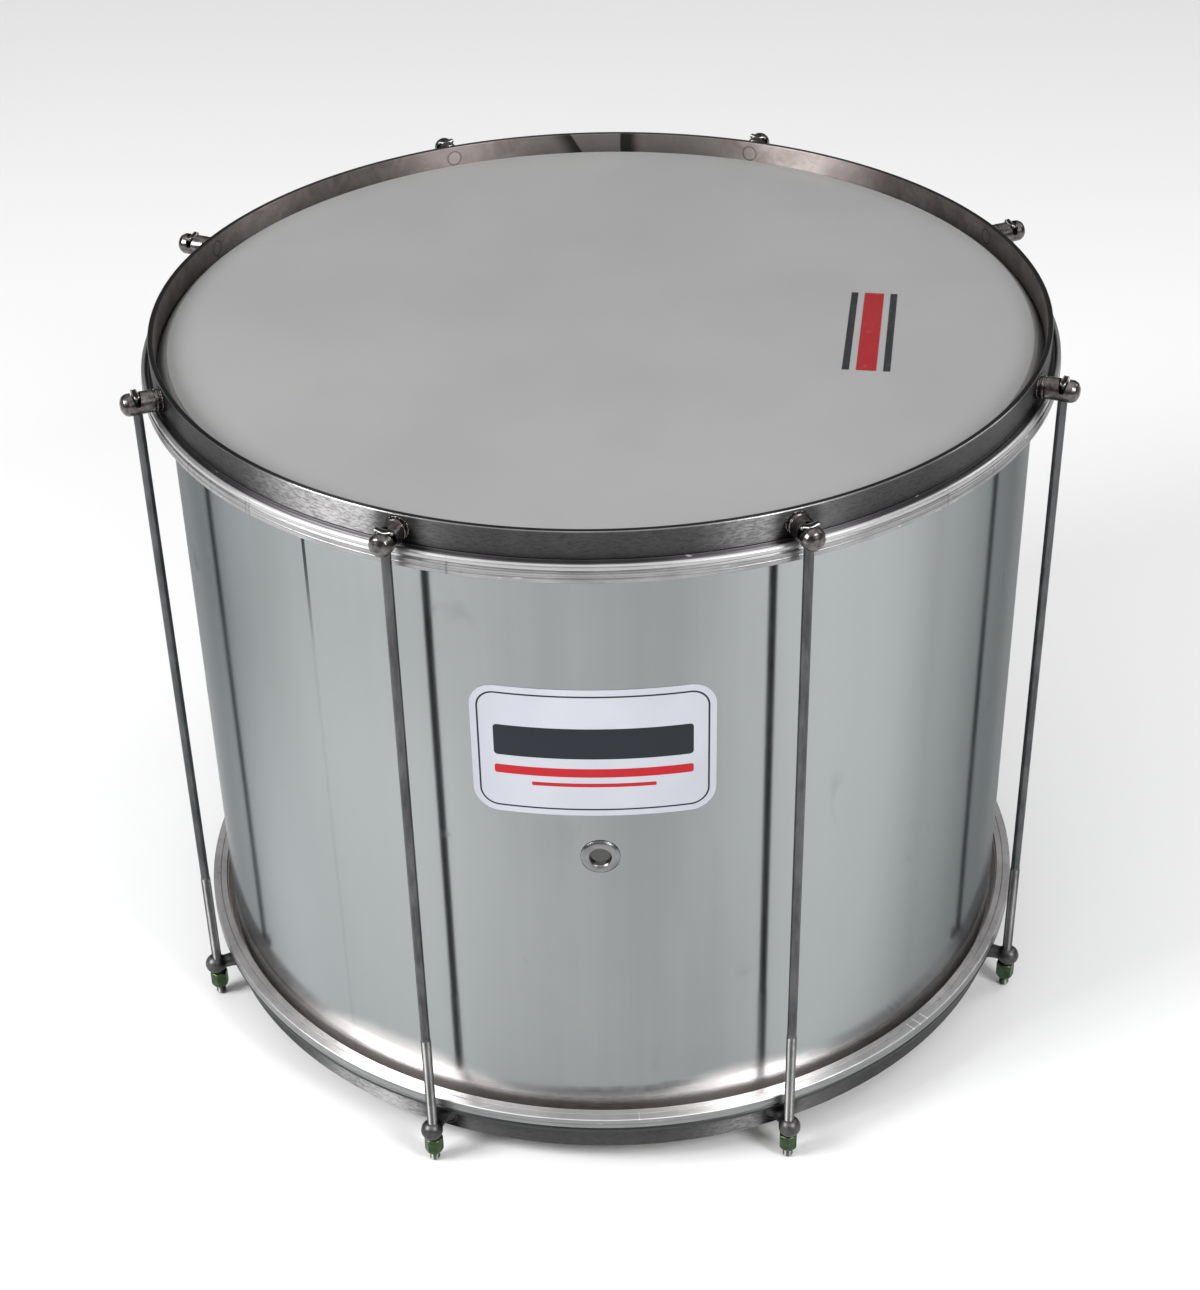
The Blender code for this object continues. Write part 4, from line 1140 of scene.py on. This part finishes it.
# ------------------------------------------------------------------ posts
def box_mesh(name, lo, hi, taper=0.0):
    """A block, its top wider along X by taper on each side."""
    (x0, y0, z0), (x1, y1, z1) = lo, hi
    verts = [(x0, y0, z0), (x1, y0, z0), (x1, y1, z0), (x0, y1, z0),
             (x0 - taper, y0, z1), (x1 + taper, y0, z1), (x1 + taper, y1, z1), (x0 - taper, y1, z1)]
    faces = [(0, 3, 2, 1), (4, 5, 6, 7), (0, 1, 5, 4), (1, 2, 6, 5), (2, 3, 7, 6), (3, 0, 4, 7)]
    return plain_mesh(name, verts, faces)


def tube(name, radius, z0, z1, steps, x=0.0, flare=0.0):
    """A round cutter along Z; flare widens its ends so that the hole it cuts has a broken edge."""
    levels = [(z0, radius + flare), (z0 + flare, radius), (z1 - flare, radius), (z1, radius + flare)] if flare else [(z0, radius), (z1, radius)]
    verts, faces = [], []
    for z, r in levels:
        for i in range(steps):
            a = TAU * (i + 0.5) / steps
            verts.append((x + r * math.cos(a), r * math.sin(a), z))
    for k in range(len(levels) - 1):
        for i in range(steps):
            j = (i + 1) % steps
            faces.append((k * steps + i, k * steps + j, (k + 1) * steps + j, (k + 1) * steps + i))
    faces.append(tuple(reversed(range(steps))))
    faces.append(tuple((len(levels) - 1) * steps + i for i in range(steps)))
    return plain_mesh(name, verts, faces)


def solid_of_turn(corners, arc=5):
    """(x, r) points for lathe() from rounded corners; corners run from the base to the tip."""
    return rounded([(x, r, f) for x, r, f in corners], closed=False, arc=arc)


post_x0 = 260.9                       # the weld sinks it a little into the hoop
post_pts = solid_of_turn([
    (post_x0, 0.0, 0), (post_x0, 5.9, 0.3), (262.9, 5.9, 0.3), (263.3, POST_R, 0.35), (264.3, POST_R, 0.3),
    (264.6, 5.75, 0.25), (265.3, 5.75, 0.25), (265.6, POST_R, 0.3),
    (280.2, POST_R, 2.2), (282.6, 5.2, 2.6), (POST_TIP, 2.2, 2.5), (POST_TIP, 0.0, 0),
], arc=6)
verts, faces = lathe(post_pts, 56)
post_blank = plain_mesh("post_blank", verts, faces)
notch = box_mesh("post_notch", (ROD_R - 1.15, -12.0, 0.4), (ROD_R + 1.15, 12.0, 9.0), 2.2)
post_mesh = carve("post", post_blank, [
    (tube("post_bore", 3.3, -12.0, 12.0, 40, ROD_R), "DIFFERENCE"),
    (notch, "DIFFERENCE"),
])


def bead(name, x, ry, rz, thick, lumps, seed, steps=72, around=10, reach=0.0):
    """An uneven weld bead: a ring of small overlapping ripples lying on the hoop's wall."""
    verts, faces = [], []
    for i in range(steps):
        a = TAU * i / steps
        t = thick * (1.0 + 0.16 * math.sin(lumps * a + seed) + 0.10 * math.sin(2.3 * lumps * a + seed * 2.1))
        cy, cz = math.cos(a), math.sin(a)
        wall = HOOP_OUT - math.sqrt(max(HOOP_OUT ** 2 - (ry * cy) ** 2, 0.0))
        for k in range(around):
            b = TAU * k / around
            out = t * math.cos(b)
            lift = t * 0.8 * math.sin(b)
            verts.append((x - wall + lift, (ry + out) * cy, (rz + out) * cz))
    for i in range(steps):
        j = (i + 1) % steps
        for k in range(around):
            m = (k + 1) % around
            faces.append((i * around + k, j * around + k, j * around + m, i * around + m))
    return plain_mesh(name, verts, faces)


post_weld = bead("post_weld", HOOP_OUT + 0.1, 6.0, 6.0, 0.95, 17, 0.7)
for v in post_weld.vertices:          # the bead keeps off the hoop's upper arris
    v.co.z = max(-7.2, min(7.05, v.co.z))

# ------------------------------------------------------------------ rods
def rod_mesh():
    """Shank and rolled M6 thread, standing on z 0."""
    steps = 28
    rings = []
    shank, crest, root, pitch = 2.70, 3.0, 2.40, 1.0
    top = 96.0

    def thread_radius(w, z):
        phase = (z / pitch - w / TAU) % 1.0
        tri = abs(2 * phase - 1)                  # 1 at the root, 0 at the crest
        depth = ease((tri - 0.12) / 0.76)
        r = crest - (crest - root) * depth
        lead_in = ease((z - 0.0) / 1.2)
        run_out = ease((top - z) / 1.6)
        r = root - 0.35 + (r - root + 0.35) * lead_in
        return shank + (r - shank) * run_out

    levels = [0.0]
    z = 0.0
    while z < top:
        z += pitch / 6.0
        levels.append(min(z, top))
    levels += [top + 1.0, 120, 160, 200, 240, 280, 320, 360, 400, 415, 424, 434.4]
    verts, faces = [(0.0, 0.0, 0.0)], []
    for z in levels:
        for i in range(steps):
            w = TAU * i / steps
            r = thread_radius(w, z) if z < top else shank
            verts.append((r * math.cos(w), r * math.sin(w), z))
    for i in range(steps):
        faces.append((0, 1 + (i + 1) % steps, 1 + i))
        for k in range(len(levels) - 1):
            p, q, j = 1 + k * steps, 1 + (k + 1) * steps, (i + 1) % steps
            faces.append((p + i, p + j, q + j, q + i))
    start = 1 + (len(levels) - 1) * steps
    verts.append((0.0, 0.0, 435.2))
    for i in range(steps):
        faces.append((start + i, start + (i + 1) % steps, len(verts) - 1))
    return plain_mesh("rod", verts, faces)


def bar_mesh():
    """The forged T: a flattened bar across the rod, pinched in the middle, with raised lobes at its ends."""
    length, steps = 11.2, 40
    centre = 436.25
    tones = []
    verts, faces = [], []
    stations = 26
    for k in range(stations + 1):
        t = 2 * k / stations - 1
        y = t * length / 2
        round_off = math.sqrt(max(1.0 - max(0.0, (abs(t) - 0.80) / 0.20) ** 2, 0.0))
        wide = (1.95 + 0.22 * math.cos(t * math.pi * 1.3)) * max(round_off, 0.05)
        tall = (1.25 + 0.22 * ease((abs(t) - 0.2) / 0.6)) * max(round_off, 0.05)
        lift = 0.42 * ease((abs(t) - 0.25) / 0.55) - 0.25 * math.exp(-(t / 0.22) ** 2)
        for i in range(steps):
            w = TAU * i / steps
            cw, sw = math.cos(w), math.sin(w)
            x = wide * math.copysign(abs(cw) ** 0.8, cw)
            z = tall * math.copysign(abs(sw) ** 0.8, sw)
            if sw > 0:
                z -= 0.75 * sw * math.exp(-(cw / 0.50) ** 2) * round_off   # a dish along its crown
            # painted light: the rim tone is light on the bar's edges, a painted highlight, and low in the dish, a
            # painted shade
            tones.append(ease((abs(cw) - 0.42) / 0.22) if sw > 0 else 0.30)
            verts.append((x, y, centre + lift + z))
    for k in range(stations):
        for i in range(steps):
            j = (i + 1) % steps
            faces.append((k * steps + i, k * steps + j, (k + 1) * steps + j, (k + 1) * steps + i))
    faces.append(tuple(reversed(range(steps))))
    faces.append(tuple(stations * steps + i for i in range(steps)))
    mesh = plain_mesh("rod_bar", verts, faces)
    tone = mesh.attributes.new("rim", "FLOAT", "POINT")
    tone.data.foreach_set("value", np.array(tones, dtype=np.float32))
    return mesh


rod_blank = rod_mesh()
rod_bar = bar_mesh()


# ------------------------------------------------------------------ lugs
def lug_blank():
    """A forged arm that flares onto the lower hoop and swells to a ball round the rod."""
    steps = 48
    base = 260.75
    ball = 6.5
    sections = []

    def smooth_max(a, b, k):
        h = max(k - abs(a - b), 0.0) / k
        return max(a, b) + h * h * k * 0.25

    xs = [0.0, 0.25, 0.6, 1.0, 1.5, 2.1, 2.8, 3.6, 4.6, 5.7, 6.9, 8.1, 9.2, 10.2, 11.2, 12.2, 13.2, 14.2, 15.2, 16.2, 17.2, 18.2, 19.0, 19.8, 20.5, 21.0, 21.4, 21.7, 21.88]
    for x in xs:
        flare = math.exp(-x / 1.9)
        arm_y = 4.35 + 4.75 * flare
        arm_z = 4.05 + 2.45 * flare
        over = x + base - LUG_BALL_X
        b = math.sqrt(max(ball ** 2 - over ** 2, 0.0)) if abs(over) < ball else 0.0
        fade = 1.0 - ease((x - 12.0) / 3.0)
        hy = smooth_max(arm_y * fade, b, 1.6)
        hz = smooth_max(arm_z * fade, b, 1.6)
        if over > 0:
            hy, hz = b, b
        sections.append((x + base, hy, min(hz, 6.5)))
    verts, faces = [(base, 0.0, 0.0)], []
    for x, hy, hz in sections:
        for i in range(steps):
            a = TAU * i / steps
            y, z = hy * math.cos(a), hz * math.sin(a)
            if abs(z) > 5.6:
                z = math.copysign(5.6 + 0.4 * math.tanh((abs(z) - 5.6) / 0.4), z)
            verts.append((x, y, z))
    verts.append((LUG_BALL_X + ball, 0.0, 0.0))
    for i in range(steps):
        j = (i + 1) % steps
        faces.append((0, 1 + j, 1 + i))
        for k in range(len(sections) - 1):
            p, q = 1 + k * steps, 1 + (k + 1) * steps
            faces.append((p + i, p + j, q + j, q + i))
        end = 1 + (len(sections) - 1) * steps
        faces.append((end + i, end + j, len(verts) - 1))
    return plain_mesh("lug_blank", verts, faces)


lug_mesh = carve("lug", lug_blank(), [
    (tube("lug_bore", 3.4, -7.0, 7.0, 40, ROD_R, 0.0), "DIFFERENCE"),
])
lug_weld = bead("lug_weld", HOOP_OUT + 0.05, 9.0, 6.55, 0.7, 19, 2.2)
for v in lug_weld.vertices:
    v.co.z = max(-7.4, min(7.3, v.co.z))


# ------------------------------------------------------------------ nuts
def nut_blank():
    """A long hexagon with rounded corners and both ends turned to a cone."""
    af = 10.0
    high = NUT_HIGH - NUT_FOOT
    steps = 96
    verts, faces = [], []
    corner = af / 2 / math.cos(math.pi / 6)

    def hexagon(w):
        p = (w + math.pi / 6) % (math.pi / 3) - math.pi / 6
        r = af / 2 / math.cos(p)
        return min(r, corner - 0.16)

    levels = [0.0, 0.2, 0.45, 0.75, 1.1, 1.6, 2.4, 5.0]
    zs = [z for z in levels] + [high - z for z in reversed(levels)]
    for z in zs:
        cone = corner - 0.95 + (high - z) * 1.35 if z > high / 2 else corner - 1.75 + z * 0.85
        for i in range(steps):
            w = TAU * i / steps
            r = min(hexagon(w), cone)
            verts.append((r * math.cos(w), r * math.sin(w), z))
    for k in range(len(zs) - 1):
        for i in range(steps):
            j = (i + 1) % steps
            faces.append((k * steps + i, k * steps + j, (k + 1) * steps + j, (k + 1) * steps + i))
    faces.append(tuple(reversed(range(steps))))
    faces.append(tuple((len(zs) - 1) * steps + i for i in range(steps)))
    return plain_mesh("nut_blank", verts, faces)


nut_mesh = carve("nut", nut_blank(), [
    (tube("nut_bore", 3.3, -1.0, NUT_HIGH - NUT_FOOT + 1.0, 40, 0.0, 1.4), "DIFFERENCE"),
])

for k in range(ROD_COUNT):
    n = k + 1
    deg = ROD_FIRST + k * 360.0 / ROD_COUNT
    turn = at(deg)
    keep(place(f"post_{n}", post_mesh, POST_MAT, at(deg, 0.0, POST_Z), 32.0), "upper_hoop", f"top_post_{n}")
    keep(place(f"post_weld_{n}", post_weld, POST_MAT, at(deg, 0.0, POST_Z), 60.0), "upper_hoop", None)
    keep(place(f"rod_{n}", rod_blank, ROD_MAT, at(deg, ROD_R), 60.0), "upper_hoop", f"tension_rod_{n}")
    keep(place(f"rod_bar_{n}", rod_bar, BAR_MAT, at(deg, ROD_R), 60.0), "upper_hoop", None)
    keep(place(f"lug_{n}", lug_mesh, LUG_MAT, at(deg, 0.0, LUG_Z), 40.0), "drum", f"bottom_lug_{n}")
    keep(place(f"lug_weld_{n}", lug_weld, LUG_MAT, at(deg, 0.0, LUG_Z), 60.0), "drum", None)
    spin = Matrix.Rotation(math.radians((0, 17, 41, 8, 33, 22, 5, 49)[k]), 4, "Z")
    keep(place(f"nut_{n}_hex", nut_mesh, NUT_MAT, at(deg, ROD_R, NUT_FOOT) @ spin, 28.0), f"nut_{n}", f"hex_nut_{n}")

# ------------------------------------------------------------------ studio
def flat_look(name, colour, rough):
    k = Look(name, 0.0)
    cloud = k.noise(k.coords, 1.3, 2.0, 0.5)
    k.set(Base_Color=k.mix(cloud, tuple(c * 0.985 for c in colour), colour), Roughness=rough)
    k.bsdf.inputs["Specular IOR Level"].default_value = 0.1
    return k.mat


floor_mesh = bpy.data.meshes.new("studio_floor")
size = 9.0
floor_mesh.from_pydata([(-size, -size, -0.0004), (size, -size, -0.0004), (size, size, -0.0004), (-size, size, -0.0004)], [], [(0, 1, 2, 3)])
floor_mesh.materials.append(flat_look("studio_floor_paper", (0.77, 0.77, 0.77), 0.8))
floor = bpy.data.objects.new("studio_floor", floor_mesh)
bpy.context.scene.collection.objects.link(floor)


def softbox(name, azimuth, elevation, distance, width, height, power, tint=(1.0, 1.0, 1.0)):
    a, e = math.radians(azimuth), math.radians(elevation)
    target = Vector((0.0, 0.0, 0.25))
    direction = Vector((math.cos(a) * math.cos(e), math.sin(a) * math.cos(e), math.sin(e)))
    data = bpy.data.lights.new(name, "AREA")
    data.shape = "RECTANGLE"
    data.size, data.size_y = width, height
    data.energy = power
    data.color = tint
    lamp = bpy.data.objects.new(name, data)
    bpy.context.scene.collection.objects.link(lamp)
    lamp.location = target + direction * distance
    lamp.rotation_mode = "QUATERNION"
    lamp.rotation_quaternion = (-direction).to_track_quat("-Z", "Y")
    return lamp


softbox("key_left", -154.0, 34.0, 2.4, 0.9, 0.9, 58.0)
softbox("key_right", -47.0, 34.0, 2.4, 0.6, 0.9, 34.0)
softbox("side_right", 19.0, 34.0, 2.4, 0.6, 0.8, 6.5)

world = bpy.data.worlds.new("studio_air")
bpy.context.scene.world = world
world.use_nodes = True
wt = world.node_tree
back = wt.nodes["Background"]
wc = wt.nodes.new("ShaderNodeTexCoord")
ws = wt.nodes.new("ShaderNodeSeparateXYZ")
wt.links.new(wc.outputs["Generated"], ws.inputs[0])
wr = wt.nodes.new("ShaderNodeValToRGB")
for element, (place_at, level) in zip(
    [wr.color_ramp.elements[0], wr.color_ramp.elements[1], wr.color_ramp.elements.new(0.58)],
    [(0.0, 0.10), (0.86, 1.0), (0.58, 0.20)],
):
    element.position = place_at
    element.color = (level, level, level, 1.0)
wt.links.new(ws.outputs[2], wr.inputs[0])
wt.links.new(wr.outputs[0], back.inputs[0])
back.inputs[1].default_value = 1.50

# ------------------------------------------------------------------ camera
yaw, tilt, roll = -0.01868, 0.5908, 0.0233
forward = Vector((math.sin(yaw) * math.cos(tilt), math.cos(yaw) * math.cos(tilt), -math.sin(tilt)))
right = Vector((math.cos(yaw), -math.sin(yaw), 0.0))
down = forward.cross(right)
cam_x = right * math.cos(roll) + down * math.sin(roll)
cam_down = down * math.cos(roll) - right * math.sin(roll)
cam_data = bpy.data.cameras.new("photo_camera")
cam_data.sensor_fit = "AUTO"
cam_data.sensor_width = 36.0
cam_data.lens = 2349.9 * 36.0 / 1290.0          # the frame is 1200 x 1290, so the sensor's 36 mm is its height
cam_data.clip_start, cam_data.clip_end = 0.05, 60.0
cam = bpy.data.objects.new("photo_camera", cam_data)
bpy.context.scene.collection.objects.link(cam)
basis = Matrix((cam_x, -cam_down, -forward)).transposed().to_4x4()
cam.matrix_world = Matrix.Translation((0.01898, -1.24986, 1.0354)) @ basis
bpy.context.scene.camera = cam
bpy.context.scene.view_settings.view_transform = "Standard"
bpy.context.scene.view_settings.look = "None"
